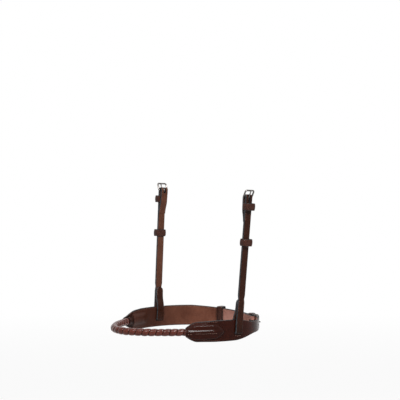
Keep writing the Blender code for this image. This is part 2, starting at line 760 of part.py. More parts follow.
def used_hole_arc():
    """Where the middle of the billet meets the line of the tongue's shaft."""
    rail = (REAR_RAIL_POINT - REAR_HEEL_POINT).normalized()
    lift = Vector((-rail.y, rail.x, 0))
    lift = lift if lift.dot(loop_frame(REAR_HEEL_ARC)[2]) > 0 else -lift
    climb = OVERLAY_LAYER - OUTER_LAYER
    rise = REAR_RAIL_ARC + GAP
    best = None
    for arc in spaced(REAR_RAIL_ARC, REAR_HEEL_ARC, WELD):
        out = OUTER_LAYER + climb * ease(rise, rise + BILLET_RISE, arc)
        miss = abs((on_loop(arc, 0, out) - REAR_HEEL_POINT).dot(lift) - TONGUE_REACH)
        if best is None or miss < best[0]:
            best = (miss, arc)
    return best[1], lift


def travel_centre(start, end):
    """Centre of the curve that the far strap follows between two arcs."""
    here, _, outward = loop_frame(-start)
    there, _, outward_there = loop_frame(-end)
    crossing = intersect_line_line(here, here + outward, there, there + outward_there)
    return crossing[0] + LOOP_PLACE


def make_rear_closure(near_band, far_band):
    used, lift = used_hole_arc()
    reach = REAR_RAIL_POINT - REAR_HEEL_POINT
    toward_rail = reach.normalized()
    heel = axes_matrix(lift.cross(toward_rail), lift, toward_rail, REAR_HEEL_POINT)
    make_buckle_frame("rear_buckle_frame", heel, HALF_STRAP, REAR_WIRE, reach.length)
    make_tongue("rear_buckle_tongue", heel, REAR_WIRE, REAR_TONGUE_WIRE, reach.length)
    level = strap_matrix(REAR_HEEL_ARC)
    level.translation = REAR_HEEL_POINT
    fold = REAR_FOLD + BAND_THICKNESS / 2 + GAP
    low = (-REAR_TONGUE_SLOT / 2, -fold, -REAR_TONGUE_SLOT_REACH)
    high = (REAR_TONGUE_SLOT / 2, fold, REAR_TONGUE_SLOT_REACH)
    cut(far_band, box_cutter("rear_tongue_slot", low, high, level))

    deep = 2 * (OVERLAY_LAYER + BAND_THICKNESS)
    for i in range(-BILLET_HOLES_BEHIND, BILLET_HOLES_AHEAD + 1):
        arc = used + i * BILLET_HOLE_PITCH
        long = USED_HOLE_LENGTH if i == 0 else BILLET_HOLE
        across = REAR_TONGUE_SLOT if i == 0 else BILLET_HOLE
        place_at = strap_matrix(arc) @ Matrix.Rotation(pi / 2, 4, "Y")
        name = f"billet_hole_{i + BILLET_HOLES_BEHIND}"
        cut(near_band, hole_cutter(name, across, long, deep, place_at))

    pair_front = OVERLAY_LAYER + BAND_THICKNESS / 2 + REAR_KEEPER_PLAY
    make_keeper(
        "rear_fixed_keeper",
        strap_matrix(REAR_ARC - REAR_FIXED_KEEPER),
        HALF_STRAP + KEEPER_SIDE_PLAY,
        -GAP / 2,
        pair_front,
    )
    slide = REAR_ARC - REAR_RUNNING_KEEPER
    keeper = make_keeper(
        "rear_running_keeper",
        strap_matrix(-slide),
        far_half(slide - KEEPER_WIDTH / 2) + KEEPER_SIDE_PLAY,
        TURNED_LAYER - BAND_THICKNESS / 2 - REAR_KEEPER_PLAY,
        pair_front,
    )
    swing = bpy.data.objects.new("rear_keeper_centre", None)
    swing.matrix_world = Matrix.Translation(travel_centre(slide, slide + REAR_KEEPER_TRAVEL))
    PART.objects.link(swing)
    keeper.parent = swing
    keeper.matrix_parent_inverse = swing.matrix_world.inverted()


def main():
    near_band = band_sheet(
        "near_band",
        1,
        near_path(),
        BAND_THICKNESS,
        billet_half,
        pad_lift,
        BAND_ROWS,
        BRIDLE_LEATHER,
    )
    far_band = band_sheet(
        "far_band", -1, far_path(), BAND_THICKNESS, far_half, pad_lift, BAND_ROWS, BRIDLE_LEATHER
    )
    linings = make_linings()
    bands = {1: near_band, -1: far_band}
    for side, word in ((1, "near"), (-1, "far")):
        make_filler(side, word)
        make_cheek(side, word, bands[side], linings[side])
    core = make_core()
    bore_rope(make_rope(), core)
    make_rear_closure(near_band, far_band)


main()
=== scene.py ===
"""Bridle noseband as it looks: twisted nose, padded bands, jaw strap and buckled cheek straps.

Metres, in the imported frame: +Z up, the nose at -Y, the horse's left (near) side at +X. Arcs run
along the loop from the middle of the nose, positive on the near side.
"""

import json
from functools import partial
from math import atan2, cos, exp, pi, radians, sin, sqrt

import bmesh
import bpy
import numpy as np
from mathutils import Matrix, Vector

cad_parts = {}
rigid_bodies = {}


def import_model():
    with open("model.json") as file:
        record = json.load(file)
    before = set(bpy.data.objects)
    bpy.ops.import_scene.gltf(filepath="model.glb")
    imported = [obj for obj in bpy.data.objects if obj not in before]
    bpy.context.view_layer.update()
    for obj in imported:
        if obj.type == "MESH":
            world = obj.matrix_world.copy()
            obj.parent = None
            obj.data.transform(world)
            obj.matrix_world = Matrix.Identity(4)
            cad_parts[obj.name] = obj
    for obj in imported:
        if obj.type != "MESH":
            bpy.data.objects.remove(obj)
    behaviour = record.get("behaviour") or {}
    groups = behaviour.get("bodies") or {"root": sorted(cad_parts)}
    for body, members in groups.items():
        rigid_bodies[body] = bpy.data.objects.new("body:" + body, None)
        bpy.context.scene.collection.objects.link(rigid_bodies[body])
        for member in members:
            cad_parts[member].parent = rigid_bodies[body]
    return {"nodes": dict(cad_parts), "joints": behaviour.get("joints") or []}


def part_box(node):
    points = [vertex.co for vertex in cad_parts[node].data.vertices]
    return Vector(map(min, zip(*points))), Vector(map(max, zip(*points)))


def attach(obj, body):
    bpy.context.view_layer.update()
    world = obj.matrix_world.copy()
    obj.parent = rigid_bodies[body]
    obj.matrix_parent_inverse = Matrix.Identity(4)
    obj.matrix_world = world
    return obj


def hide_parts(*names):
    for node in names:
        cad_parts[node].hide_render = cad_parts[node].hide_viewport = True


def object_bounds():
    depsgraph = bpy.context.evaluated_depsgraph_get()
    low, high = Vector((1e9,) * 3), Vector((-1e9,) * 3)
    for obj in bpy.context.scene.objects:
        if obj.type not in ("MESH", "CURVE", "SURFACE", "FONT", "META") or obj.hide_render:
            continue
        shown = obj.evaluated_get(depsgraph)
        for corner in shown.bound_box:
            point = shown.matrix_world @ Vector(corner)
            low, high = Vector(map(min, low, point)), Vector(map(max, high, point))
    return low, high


for startup in list(bpy.data.objects):
    bpy.data.objects.remove(startup)
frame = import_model()
CAD_LOW, CAD_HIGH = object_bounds()

MM = 0.001
SIDES = ((1, "near"), (-1, "far"))

# Loop seen from above: a rounded egg, from the first three turns of a wave series
LOOP_HALF_LENGTH = 116.0 * MM
LOOP_HALF_WIDTH = 98.1 * MM
LOOP_NOSE_PULL = 7.4 * MM
LOOP_END_PULL = 1.6 * MM
LOOP_NOSE_PINCH = 6.0 * MM
LOOP_SIDE_PINCH = 1.2 * MM
LOOP_SAMPLES = 2000

# Band leather
GAP = 0.3 * MM
BAND_HEIGHT = 32.0 * MM
STRAP_HEIGHT = 17.6 * MM
BAND_THICKNESS = 2.2 * MM
LINING_THICKNESS = 1.6 * MM
PAD_STEP = 1.0 * MM
BAND_STEP = 2.5 * MM
RIM = 0.7 * MM  # rounding of a cut edge, across the leather
CREASE_IN = 1.8 * MM  # a creased line runs this far in from a cut edge
CREASE_WIDTH = 0.45 * MM
CREASE_DEPTH = 0.16 * MM

# Twisted nose
ROPE_LENGTH = 209.4 * MM
CORE_DIAMETER = 6.0 * MM
CORE_IN_PAD = 42.0 * MM
ROPE_DIAMETER = 11.4 * MM
ROPE_GROOVE = 1.2 * MM
ROPE_PITCH = 10.2 * MM  # one turn of the wound strip
ROPE_IN_TIP = 9.0 * MM
STRIP_COLUMNS = 14
STRIP_STEPS_A_TURN = 30
STRIP_WOBBLE = 0.02  # share by which the turns differ
WOBBLE_FAST = 1.7  # radians a turn
WOBBLE_SLOW = 0.61
BEAD_POWER = 2.2  # a turn's section: round on top, steep at its groove
BEAD_ROUNDING = 0.6

# Pads
PAD_LENGTH = 60.8 * MM
NEAR_TIP_LENGTH = 18.0 * MM
FAR_TIP_LENGTH = 34.0 * MM
PAD_TIP_HEIGHT = 13.2 * MM
PAD_TIP_POWER = 1.6
PAD_WAIST = 0.8 * MM  # the band is this much lower, at each edge, behind its tip
PAD_WAIST_END = 50.0 * MM
PAD_END_LENGTH = 18.0 * MM
PAD_FLANGE = 3.2 * MM
PAD_GROOVE = 0.2 * MM  # depth of the crease round the swell and of the seam's
PAD_GROOVE_SHARE = 0.07
PAD_CROWN = 4.6 * MM
PAD_RIDGE = 2.1 * MM
PAD_RIDGE_WIDTH = 3.2 * MM
LINING_SETBACK = 19.0 * MM
LINING_BULGE_HEIGHT = 18.0 * MM
CROWN_POWER = 6.0  # how flat the swell's top is, and how steeply its edge falls
CROWN_EDGE_POWER = 0.75
CROWN_DOME = 0.16  # share of the crown that is an even dome
CROWN_SIDE_POWER = 1.6
CROWN_END_POWER = 1.7
BULGE_POWER = 3.0
PAD_ROWS = 30  # faces over the height of a band, of a lining and of a filling
LINING_ROWS = 14
FILLING_ROWS = 12
TIP_LINING_ROWS = 32
SEAM_DROP = 2.2 * MM  # seam below the ridge
SEAM_START = 15.0 * MM
SEAM_END = 45.0 * MM

# Cheek straps
PAD_TO_SLOT = 84.6 * MM
SLOT_DROP = 5.0 * MM
CHEEK_LEAN_OUT = 7.0 * MM
CHEEK_WIDTH = 12.7 * MM
CHEEK_THICKNESS = 3.0 * MM
SLOT_BEND = 2.0 * MM
SLOT_PLAY = 0.25 * MM
CHEEK_BAND_GAP = 0.45 * MM
CHEEK_BEND_RISE = 1.5 * MM
CHEEK_TAIL = 52.0 * MM
CHEEK_TAIL_JOIN = 12.0 * MM
CHEEK_TURNED_END = 37.0 * MM
CHEEK_TURNED_JOIN = 7.0 * MM
CHEEK_STEP = 2.0 * MM
CHEEK_ROWS = 6
SKIVE_LENGTH = 16.0 * MM  # the turned end is thinned over this length, up from its cut
TAIL_POINT = 7.0 * MM  # length of the tail's rounded end
BLUNT_TAIL = 0.03  # share that keeps the rounded ends from closing to a point
BLUNT_BILLET = 0.02

# Buckles
CHEEK_WIRE = 2.5 * MM
CHEEK_FRAME_DEPTH = 11.5 * MM
CHEEK_FRAME_TILT = radians(25)
CHEEK_TONGUE_WIRE = 2.1 * MM
CHEEK_TONGUE_SLOT = 4.4 * MM
CHEEK_TONGUE_SLOT_REACH = 8.5 * MM
CHEEK_RING_SLOT_REACH = 4.4 * MM
REAR_WIRE = 2.8 * MM
REAR_RAIL_REACH = 11.7 * MM
REAR_TONGUE_WIRE = 2.4 * MM
REAR_TONGUE_SLOT = 4.4 * MM
REAR_TONGUE_SLOT_REACH = 6.5 * MM
FRAME_PLAY = 0.5 * MM
FRAME_CORNER = 2.6 * MM
HEEL_CORNER = 1.6 * MM
TONGUE_TIP = 1.1 * MM
TONGUE_TIP_SHARE = 0.75
TONGUE_RING_SHARE = 0.69
WIRE_ROUNDING = 6
CORNER_STEPS = 6
FOLD_STEPS = 12
CHEEK_FOLD_STEPS = 20
RING_STEPS = 28

# Keepers
KEEPER_WIDTH = 11.0 * MM
KEEPER_WALL = 1.5 * MM
KEEPER_SIDE_PLAY = 0.4 * MM
KEEPER_CORNER = 1.6 * MM
KEEPER_CROWN = 3.4 * MM
KEEPER_SWELL = 0.7 * MM
KEEPER_STEP = 0.6 * MM
KEEPER_ROWS = 8
BILLET_ROOM = 5.0 * MM
FIXED_KEEPER_DROP = 14.0 * MM
RUNNING_KEEPER_DROP = 68.0 * MM

# Closure behind the jaw
REAR_HEEL = 40.5 * MM
REAR_FIXED_KEEPER = 26.5 * MM
REAR_RUNNING_KEEPER = 43.5 * MM
REAR_TURNED_END = 41.5 * MM
REAR_KEEPER_PLAY = 0.5 * MM
BILLET_REACH = 66.0 * MM
BILLET_POINT = 14.0 * MM
BILLET_HOLE = 3.6 * MM
BILLET_HOLE_PITCH = 20.0 * MM
BILLET_HOLES_BEHIND = 2
BILLET_HOLES_AHEAD = 3
USED_HOLE_LENGTH = 9.6 * MM
BILLET_RISE = 11.0 * MM
NEAR_TAPER_LEAD = 7.2 * MM
NEAR_TAPER = 52.0 * MM
NEAR_LINING_END = 47.0 * MM
FAR_TAPER_START = 56.0 * MM
FAR_TAPER = 113.0 * MM

# Thread
STITCH_PITCH = 3.1 * MM
STITCH_LENGTH = 2.2 * MM
STITCH_WIDTH = 0.62 * MM
STITCH_INSET = 2.6 * MM  # from a cut edge
SHARP_ANGLE = radians(40)
ROPE_SHARP_ANGLE = radians(50)

HALF_BAND = BAND_HEIGHT / 2
HALF_STRAP = STRAP_HEIGHT / 2
PAD_TIP_ARC = ROPE_LENGTH / 2
PAD_END_ARC = PAD_TIP_ARC + PAD_LENGTH
SLOT_ARC = PAD_TIP_ARC + PAD_TO_SLOT
OUTER_LAYER = (GAP + BAND_THICKNESS) / 2
OUTER_FACE = OUTER_LAYER + BAND_THICKNESS / 2
LINING_LAYER = -(GAP + LINING_THICKNESS) / 2
TURNED_LAYER = -OUTER_LAYER
OVERLAY_LAYER = OUTER_LAYER + BAND_THICKNESS + GAP


def loop_xy(turn):
    """The loop at an angle from the middle of the nose."""
    side = LOOP_HALF_WIDTH * np.sin(turn) - LOOP_NOSE_PINCH * np.sin(2 * turn)
    side = side - LOOP_SIDE_PINCH * np.sin(3 * turn)
    fore = LOOP_HALF_LENGTH * np.cos(turn) + LOOP_NOSE_PULL * np.cos(2 * turn)
    return side, -(fore + LOOP_END_PULL * np.cos(3 * turn))


TURNS = np.linspace(0, 2 * pi, LOOP_SAMPLES + 1)
LOOP_XY = loop_xy(TURNS)
ARCS = np.concatenate([[0], np.cumsum(np.hypot(np.diff(LOOP_XY[0]), np.diff(LOOP_XY[1])))])
LOOP_LENGTH = float(ARCS[-1])
REAR_ARC = LOOP_LENGTH / 2

CORE_LOW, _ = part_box("nose_rope_core")
BAND_LOW, BAND_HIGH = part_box("near_band")
NOSE_REACH = LOOP_HALF_LENGTH + LOOP_NOSE_PULL + LOOP_END_PULL
LOOP_Y = CORE_LOW.y + CORE_DIAMETER / 2 + NOSE_REACH
LOOP_PLACE = Vector((0, LOOP_Y, (BAND_LOW.z + BAND_HIGH.z) / 2))


def loop_frame(arc):
    """The loop's point, its direction towards growing arcs and its outward normal, level."""
    turn = float(np.interp(arc % LOOP_LENGTH, ARCS, TURNS))
    along = pi / LOOP_SAMPLES
    x0, y0 = loop_xy(turn - along)
    x1, y1 = loop_xy(turn + along)
    tangent = Vector((x1 - x0, y1 - y0, 0)).normalized()
    x, y = loop_xy(turn)
    return Vector((x, y, 0)), tangent, Vector((tangent.y, -tangent.x, 0))


def on_loop(arc, height, out):
    """A place given along the loop, above its middle line and outwards from it."""
    point, _, outward = loop_frame(arc)
    return LOOP_PLACE + point + outward * out + Vector((0, 0, height))


def ease(start, end, value):
    """0 before start, 1 after end, and smooth between them."""
    share = min(max((value - start) / (end - start), 0), 1)
    return share * share * (3 - 2 * share)


def bell(value, width):
    return exp(-((value / width) ** 2))


def spaced(start, end, step):
    """Places from start to end, both kept, about a step apart."""
    count = max(1, round(abs(end - start) / step))
    return [start + (end - start) * i / count for i in range(count + 1)]


def evenly(half, count):
    """Places from -half to half, in count steps."""
    return [half * (2 * i / count - 1) for i in range(count + 1)]


def arc_points(centre, radius, start, end, steps):
    angles = [start + (end - start) * i / steps for i in range(steps + 1)]
    return [(centre[0] + radius * cos(a), centre[1] + radius * sin(a)) for a in angles]


def axes_matrix(x, y, z, place):
    turn = Matrix((x, y, z)).transposed().to_4x4()
    turn.translation = place
    return turn


JOINTS = {joint["name"]: joint for joint in frame["joints"]}
HEEL_POINT = Vector(JOINTS["near_cheek_buckle_hinge"]["pos_m"])
SLOT_OUT = loop_frame(SLOT_ARC)[2]
SLOT_POINT = on_loop(SLOT_ARC, -SLOT_DROP, 0)
CHEEK_RISE = HEEL_POINT - SLOT_OUT * CHEEK_LEAN_OUT - SLOT_POINT
CHEEK_LENGTH = CHEEK_RISE.length


# Shaders


class Value:
    """A node's output; a sum with it adds its own Math node."""

    def __init__(self, nodes, socket):
        self.nodes = nodes
        self.socket = socket

    def math(self, operation, other):
        return self.nodes.node("ShaderNodeMath", {"operation": operation}, {0: self, 1: other})

    def __add__(self, other):
        return self.math("ADD", other)

    def __mul__(self, other):
        return self.math("MULTIPLY", other)

    __radd__ = __add__
    __rmul__ = __mul__


class Nodes:
    """The nodes of a material or of the world."""

    def __init__(self, owner):
        owner.use_nodes = True
        self.tree = owner.node_tree

    def feed(self, node, sockets):
        """Gives a node's sockets their values or links."""
        for name, value in sockets.items():
            if isinstance(value, Value):
                self.tree.links.new(value.socket, node.inputs[name])
            else:
                node.inputs[name].default_value = value

    def node(self, kind, settings, sockets, out=0):
        """Adds a node with its settings and sockets. Gives one output."""
        made = self.tree.nodes.new(kind)
        for name, value in settings.items():
            setattr(made, name, value)
        self.feed(made, sockets)
        return Value(self, made.outputs[out])

    def spread(self, value, low, high, to_low=0.0, to_high=1.0):
        """Stretches a value between two limits over two others, held inside them."""
        limits = (value, low, high, to_low, to_high)
        return self.node("ShaderNodeMapRange", {}, dict(enumerate(limits)))

    def shown_background(self):
        """1 where the camera, a mirror or glass sees the background, and 0 where it only lights."""
        kinds = ("Camera", "Glossy", "Transmission")
        rays = [self.node("ShaderNodeLightPath", {}, {}, f"Is {kind} Ray") for kind in kinds]
        camera, mirror, glass = rays
        return camera.math("MAXIMUM", mirror).math("MAXIMUM", glass)

    def background(self, output, share, own, white):
        """Gives an output its own shader, and white where the share says so."""
        mixed = self.node("ShaderNodeMixShader", {}, {0: share, 1: own, 2: white})
        self.feed(self.tree.nodes[output], {"Surface": mixed})


class Finish(Nodes):
    """A material in the making."""

    def __init__(self, name, roughness, specular=0.5, metallic=0.0):
        self.material = bpy.data.materials.new(name)
        super().__init__(self.material)
        self.shader = self.tree.nodes["Principled BSDF"]
        looks = {"Roughness": roughness, "Specular IOR Level": specular, "Metallic": metallic}
        self.feed(self.shader, looks)

    def place(self, stretch=(1, 1, 1)):
        """Where a point lies on the object, in metres."""
        spot = self.node("ShaderNodeTexCoord", {}, {}, "Object")
        return self.node("ShaderNodeVectorMath", {"operation": "MULTIPLY"}, {0: spot, 1: stretch})

    def noise(self, spot, size, detail=3.0, roughness=0.55):
        scale = {"Vector": spot, "Scale": 1 / size, "Detail": detail, "Roughness": roughness}
        return self.node("ShaderNodeTexNoise", {}, scale, "Fac")

    def cells(self, spot, size):
        scale = {"Vector": spot, "Scale": 1 / size}
        return self.node("ShaderNodeTexVoronoi", {}, scale, "Distance")

    def blend(self, factor, first, second):
        colours = {0: factor, 6: first, 7: second}
        return self.node("ShaderNodeMix", {"data_type": "RGBA"}, colours, 2)

    def bump(self, height, depth):
        return self.node("ShaderNodeBump", {}, {"Strength": 1, "Height": height, "Distance": depth})

    def wear(self, colour, **more):
        self.feed(self.shader, {"Base Color": colour, **more})
        return self.material


def shade(red, green, blue):
    """A colour given as it looks on a screen, 0 to 255, for a socket."""
    screen = [c / 255 for c in (red, green, blue)]
    straight = [c / 12.92 if c < 0.04 else ((c + 0.055) / 1.055) ** 2.4 for c in screen]
    return (*straight, 1.0)


# The darkening near the nose fades out between these places along the loop's length
NOSE_DARKENING_START = -8.0 * MM
NOSE_DARKENING_END = 78.0 * MM
NOSE_DARKENING_CLOUD = 30.0 * MM
NOSE_DARKENING_COLOUR = shade(34, 13, 5)

CLOUD_SIZE = 30.0 * MM
FLECK_SIZE = 2.2 * MM
PORE_SIZE = 0.75 * MM
CREASE_SIZE = 1.6 * MM
BLOTCH_SIZE = 24.0 * MM
FIBRE_SIZE = 0.9 * MM
RUB_SIZE = 1.2 * MM


def grain_leather(name, colours, roughness, specular, depth=0.05 * MM, darker_at_nose=False):
    """Waxed bridle leather: cloudy dye, faint pores and fine creases.

    colours are the dark, the middle and the light one. The leather can be made darker near the
    nose.
    """
    dark, mid, light = [shade(*colour) for colour in colours]
    finish = Finish(name, roughness, specular)
    spot = finish.place()
    cloud = finish.noise(spot, CLOUD_SIZE, 4.0)
    fleck = finish.noise(spot, FLECK_SIZE, 3.0, 0.7)
    colour = finish.blend(finish.spread(cloud, 0.2, 0.6), dark, mid)
    colour = finish.blend(finish.spread(fleck, 0.5, 0.85) * 0.5, colour, light)
    if darker_at_nose:
        # darker towards the nose, fading out along the loop
        along = finish.node("ShaderNodeSeparateXYZ", {}, {0: spot}, "Y")
        undarkened = finish.spread(along + cloud * NOSE_DARKENING_CLOUD, NOSE_DARKENING_START, NOSE_DARKENING_END)
        colour = finish.blend(undarkened, finish.blend(cloud * 0.6, NOSE_DARKENING_COLOUR, dark), colour)
    pores = finish.cells(spot, PORE_SIZE)
    creases = finish.noise(finish.place((1, 1, 0.25)), CREASE_SIZE, 2.0)
    height = pores * 0.5 + creases * 0.6 + fleck * 0.4
    gloss = finish.spread(fleck + cloud, 0.7, 1.4, roughness - 0.04, roughness + 0.06)
    return finish.wear(colour, Roughness=gloss, Normal=finish.bump(height, depth))


def flesh_leather(name, dark, light):
    """The split side of leather: matt, fibrous and blotchy."""
    finish = Finish(name, 0.62, 0.3)
    spot = finish.place()
    cloud = finish.noise(spot, BLOTCH_SIZE, 4.0)
    fibre = finish.noise(finish.place((1, 1, 2.5)), FIBRE_SIZE, 4.0, 0.75)
    blotch = finish.spread(cloud + fibre * 0.5, 0.55, 0.95)
    colour = finish.blend(blotch, shade(*dark), shade(*light))
    return finish.wear(colour, Normal=finish.bump(fibre, 0.12 * MM))


def speckled(name, dark, light, gloss, size, detail, depth, grit=0.55, limits=(0.0, 1.0)):
    """Dyed edge, waxed thread, cord or felt: two shades; gloss is roughness and specular."""
    finish = Finish(name, *gloss)
    speck = finish.noise(finish.place(), size, detail, grit)
    colour = finish.blend(finish.spread(speck, *limits), shade(*dark), shade(*light))
    return finish.wear(colour, Normal=finish.bump(speck, depth))


def buckle_steel(name):
    finish = Finish(name, 0.22, 0.5, 1.0)
    rubbed = finish.noise(finish.place(), RUB_SIZE, 4.0, 0.7)
    colour = finish.blend(rubbed, shade(70, 66, 64), shade(128, 124, 120))
    return finish.wear(colour, Roughness=finish.spread(rubbed, 0.3, 0.7, 0.16, 0.34))


BAND_GRAIN = grain_leather(
    "band_grain", ((29, 9, 4), (43, 13, 6), (70, 31, 22)), 0.18, 0.075, 0.035 * MM
)
STRAP_GRAIN = grain_leather("strap_grain", ((30, 13, 7), (44, 20, 11), (72, 41, 29)), 0.2, 0.08)
KEEPER_GRAIN = grain_leather("keeper_grain", ((34, 16, 11), (58, 31, 23), (92, 62, 53)), 0.17, 0.12)
ROPE_GRAIN = grain_leather("rope_grain", ((52, 19, 11), (82, 33, 22), (118, 64, 50)), 0.2, 0.24)
# Darker leather for the faces beside the rope's grooves: painted shade in the grooves
GROOVE_SHADE = grain_leather("rope_groove_shade", ((30, 11, 7), (44, 17, 11), (62, 28, 20)), 0.34, 0.1)
LINING_GRAIN = grain_leather(
    "lining_grain", ((78, 40, 27), (107, 65, 49), (128, 87, 72)), 0.4, 0.12, darker_at_nose=True
)
STRAP_BACK = grain_leather("strap_back", ((58, 33, 22), (78, 47, 34), (98, 64, 50)), 0.4, 0.1)
FLESH = flesh_leather("flesh_side", (118, 76, 64), (150, 106, 94))
EDGES = ((0.42, 0.2), 4.0 * MM, 4.0, 0.1 * MM, 0.55, (0.4, 0.7))
THREADS = ((0.5, 0.4), 0.35 * MM, 2.0, 0.08 * MM)
EDGE_DYE = speckled("edge_dye", (8, 8, 9), (28, 26, 27), *EDGES)
# Strap edges: dark edge dye, lightened to a bluish grey that is a painted sheen
STRAP_EDGE_DYE_AND_SHEEN = speckled("strap_edge_dye_and_sheen", (28, 28, 30), (62, 64, 67), *EDGES)
TAN_THREAD = speckled("tan_thread", (104, 70, 58), (168, 136, 122), *THREADS)
BROWN_THREAD = speckled("brown_thread", (76, 44, 34), (132, 92, 78), *THREADS)
DARK_THREAD = speckled("dark_thread", (52, 26, 18), (92, 54, 42), *THREADS)
STEEL = buckle_steel("buckle_steel")
MATTED = (4.0, 0.2 * MM, 0.7)
CORD = speckled("core_cord", (150, 134, 110), (190, 176, 150), (0.9, 0.2), 1.2 * MM, *MATTED)
FELT = speckled("filler_felt", (130, 120, 106), (172, 162, 148), (0.9, 0.2), 0.8 * MM, *MATTED)


# Mesh makers


def add_object(name, data):
    made = bpy.data.objects.new(name, data)
    bpy.context.scene.collection.objects.link(made)
    return made


def mesh_of(name, work, finishes):
    mesh = bpy.data.meshes.new(name)
    work.to_mesh(mesh)
    work.free()
    for finish in finishes:
        mesh.materials.append(finish)
    return mesh


def finish_piece(name, work, finishes, body="noseband", sharp=SHARP_ANGLE):
    """Turns a work mesh into a piece that rides on a body."""
    bmesh.ops.recalc_face_normals(work, faces=work.faces[:])
    if work.calc_volume(signed=True) < 0:
        bmesh.ops.reverse_faces(work, faces=work.faces[:])
    mesh = mesh_of(name, work, finishes)
    mesh.shade_smooth()
    mesh.set_sharp_from_angle(angle=sharp)
    piece = add_object(name, mesh)
    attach(piece, body)
    return piece


FACE, EDGE, BACK = 0, 1, 2  # finish numbers of a leather piece
RIM_STEPS = 5
SOFTENING_ROUNDS = 4
END_ROUNDING = 3


def join_rows(work, here, there):
    """Four-cornered faces between two rows of points, in order."""
    return [work.faces.new(four) for four in zip(here, here[1:], there[1:], there)]


def skin(rings, profile, closed=False, cap=EDGE):
    """A work mesh over rings of points. profile gives each strip's finish number, cap the ends'."""
    work = bmesh.new()
    rows = [[work.verts.new(point) for point in ring] for ring in rings]
    if closed:
        rows.append(rows[0])
    for here, there in zip(rows, rows[1:]):
        faces = join_rows(work, here + here[:1], there + there[:1])
        for face, (_, _, finish) in zip(faces, profile):
            face.material_index = finish
    if not closed:
        for row in (rows[0], rows[-1]):
            work.faces.new(row).material_index = cap
    return work


def section(half, thickness, rows, swell=0.0):
    """A creased strap's section as (across, through, finish number); swell crowns its face."""
    rim = min(RIM, half / 2)
    flat = half - rim
    low = [-half + CREASE_IN + mark for mark in evenly(CREASE_WIDTH, 4)]
    inner = half - CREASE_IN - 2 * CREASE_WIDTH
    across = [-flat, *low, *evenly(inner, rows), *(-a for a in reversed(low)), flat]
    points = []
    for a in across:
        dip = CREASE_DEPTH * bell(half - CREASE_IN - abs(a), CREASE_WIDTH / 2)
        points.append((a, thickness / 2 - dip + swell * (1 - (a / half) ** 2), FACE))
    rounding = [pi / 2 - pi * i / (RIM_STEPS + 1) for i in range(1, RIM_STEPS + 1)]
    points[-1] = (*points[-1][:2], EDGE)
    points += [(flat + rim * cos(t), thickness / 2 * sin(t), EDGE) for t in rounding]
    points += [(-a, -thickness / 2, BACK) for a in evenly(flat, rows)]
    points[-1] = (*points[-1][:2], EDGE)
    points += [(-flat - rim * cos(t), -thickness / 2 * sin(t), EDGE) for t in rounding]
    return points


def path_normals(path):
    """Mitred normals, to the left of each point of a flat path."""
    points = [Vector(point) for point in path]
    ways = [(there - here).normalized() for here, there in zip(points, points[1:])]
    middles = [(a + b).normalized() for a, b in zip(ways[:1] + ways, ways + ways[-1:])]
    return [Vector((-middle.y, middle.x)) for middle in middles]


def soften(path):
    """Cuts the corners of a path again and again, so that it bends smoothly."""
    for _ in range(SOFTENING_ROUNDS):
        cut = [path[0]]
        for (x0, y0), (x1, y1) in zip(path, path[1:]):
            for share in (0.25, 0.75):
                cut.append(((1 - share) * x0 + share * x1, (1 - share) * y0 + share * y1))
        path = cut + [path[-1]]
    return path


def resample(path, step):
    """Evenly spaced places along a path, both ends kept."""
    points = np.array(path)
    along = np.concatenate([[0], np.cumsum(np.hypot(*np.diff(points, axis=0).T))])
    where = np.array(spaced(0, float(along[-1]), step))
    return list(zip(np.interp(where, along, points[:, 0]), np.interp(where, along, points[:, 1])))


def end_shares(count, i):
    """How thick a strap is near its ends, so that a cut end is rounded."""
    near = min(i, count - 1 - i)
    return sin(pi / 2 * (near + 1) / (END_ROUNDING + 1)) if near < END_ROUNDING else 1.0


def sew(name, spots, finish):
    """One piece of all the stitches at the spots, each (point, along, outward)."""
    work = bmesh.new()
    size = Matrix.Diagonal((STITCH_WIDTH / 2, STITCH_WIDTH / 3, STITCH_LENGTH / 2, 1))
    for point, along, outward in spots:
        along = along.normalized()
        side = along.cross(outward).normalized()
        turn = axes_matrix(side, along.cross(side).normalized(), along, point)
        bmesh.ops.create_uvsphere(work, u_segments=8, v_segments=6, radius=1, matrix=turn @ size)
    finish_piece(name, work, [finish], sharp=pi)


def cut_out(piece, low, high, matrix, round_hole=False):
    """Cuts a box, or an oval of the same size along the matrix's Y, out of a piece."""
    work = bmesh.new()
    if round_hole:
        bmesh.ops.create_cone(work, cap_ends=True, segments=24, radius1=0.5, radius2=0.5, depth=1)
        work.transform(Matrix.Rotation(pi / 2, 4, "X"))
    else:
        bmesh.ops.create_cube(work, size=1)
    for face in work.faces:
        face.material_index = EDGE
    low, high = Vector(low), Vector(high)
    middle = Matrix.Translation((low + high) / 2)
    work.transform(matrix @ middle @ Matrix.Diagonal((*(high - low), 1)))
    tool = add_object("cut", mesh_of("cut", work, piece.data.materials))
    change = piece.modifiers.new("cut", "BOOLEAN")
    change.operation = "DIFFERENCE"
    change.object = tool
    graph = bpy.context.evaluated_depsgraph_get()
    piece.data = bpy.data.meshes.new_from_object(piece.evaluated_get(graph))
    piece.modifiers.clear()
    bpy.data.objects.remove(tool)


# Bands


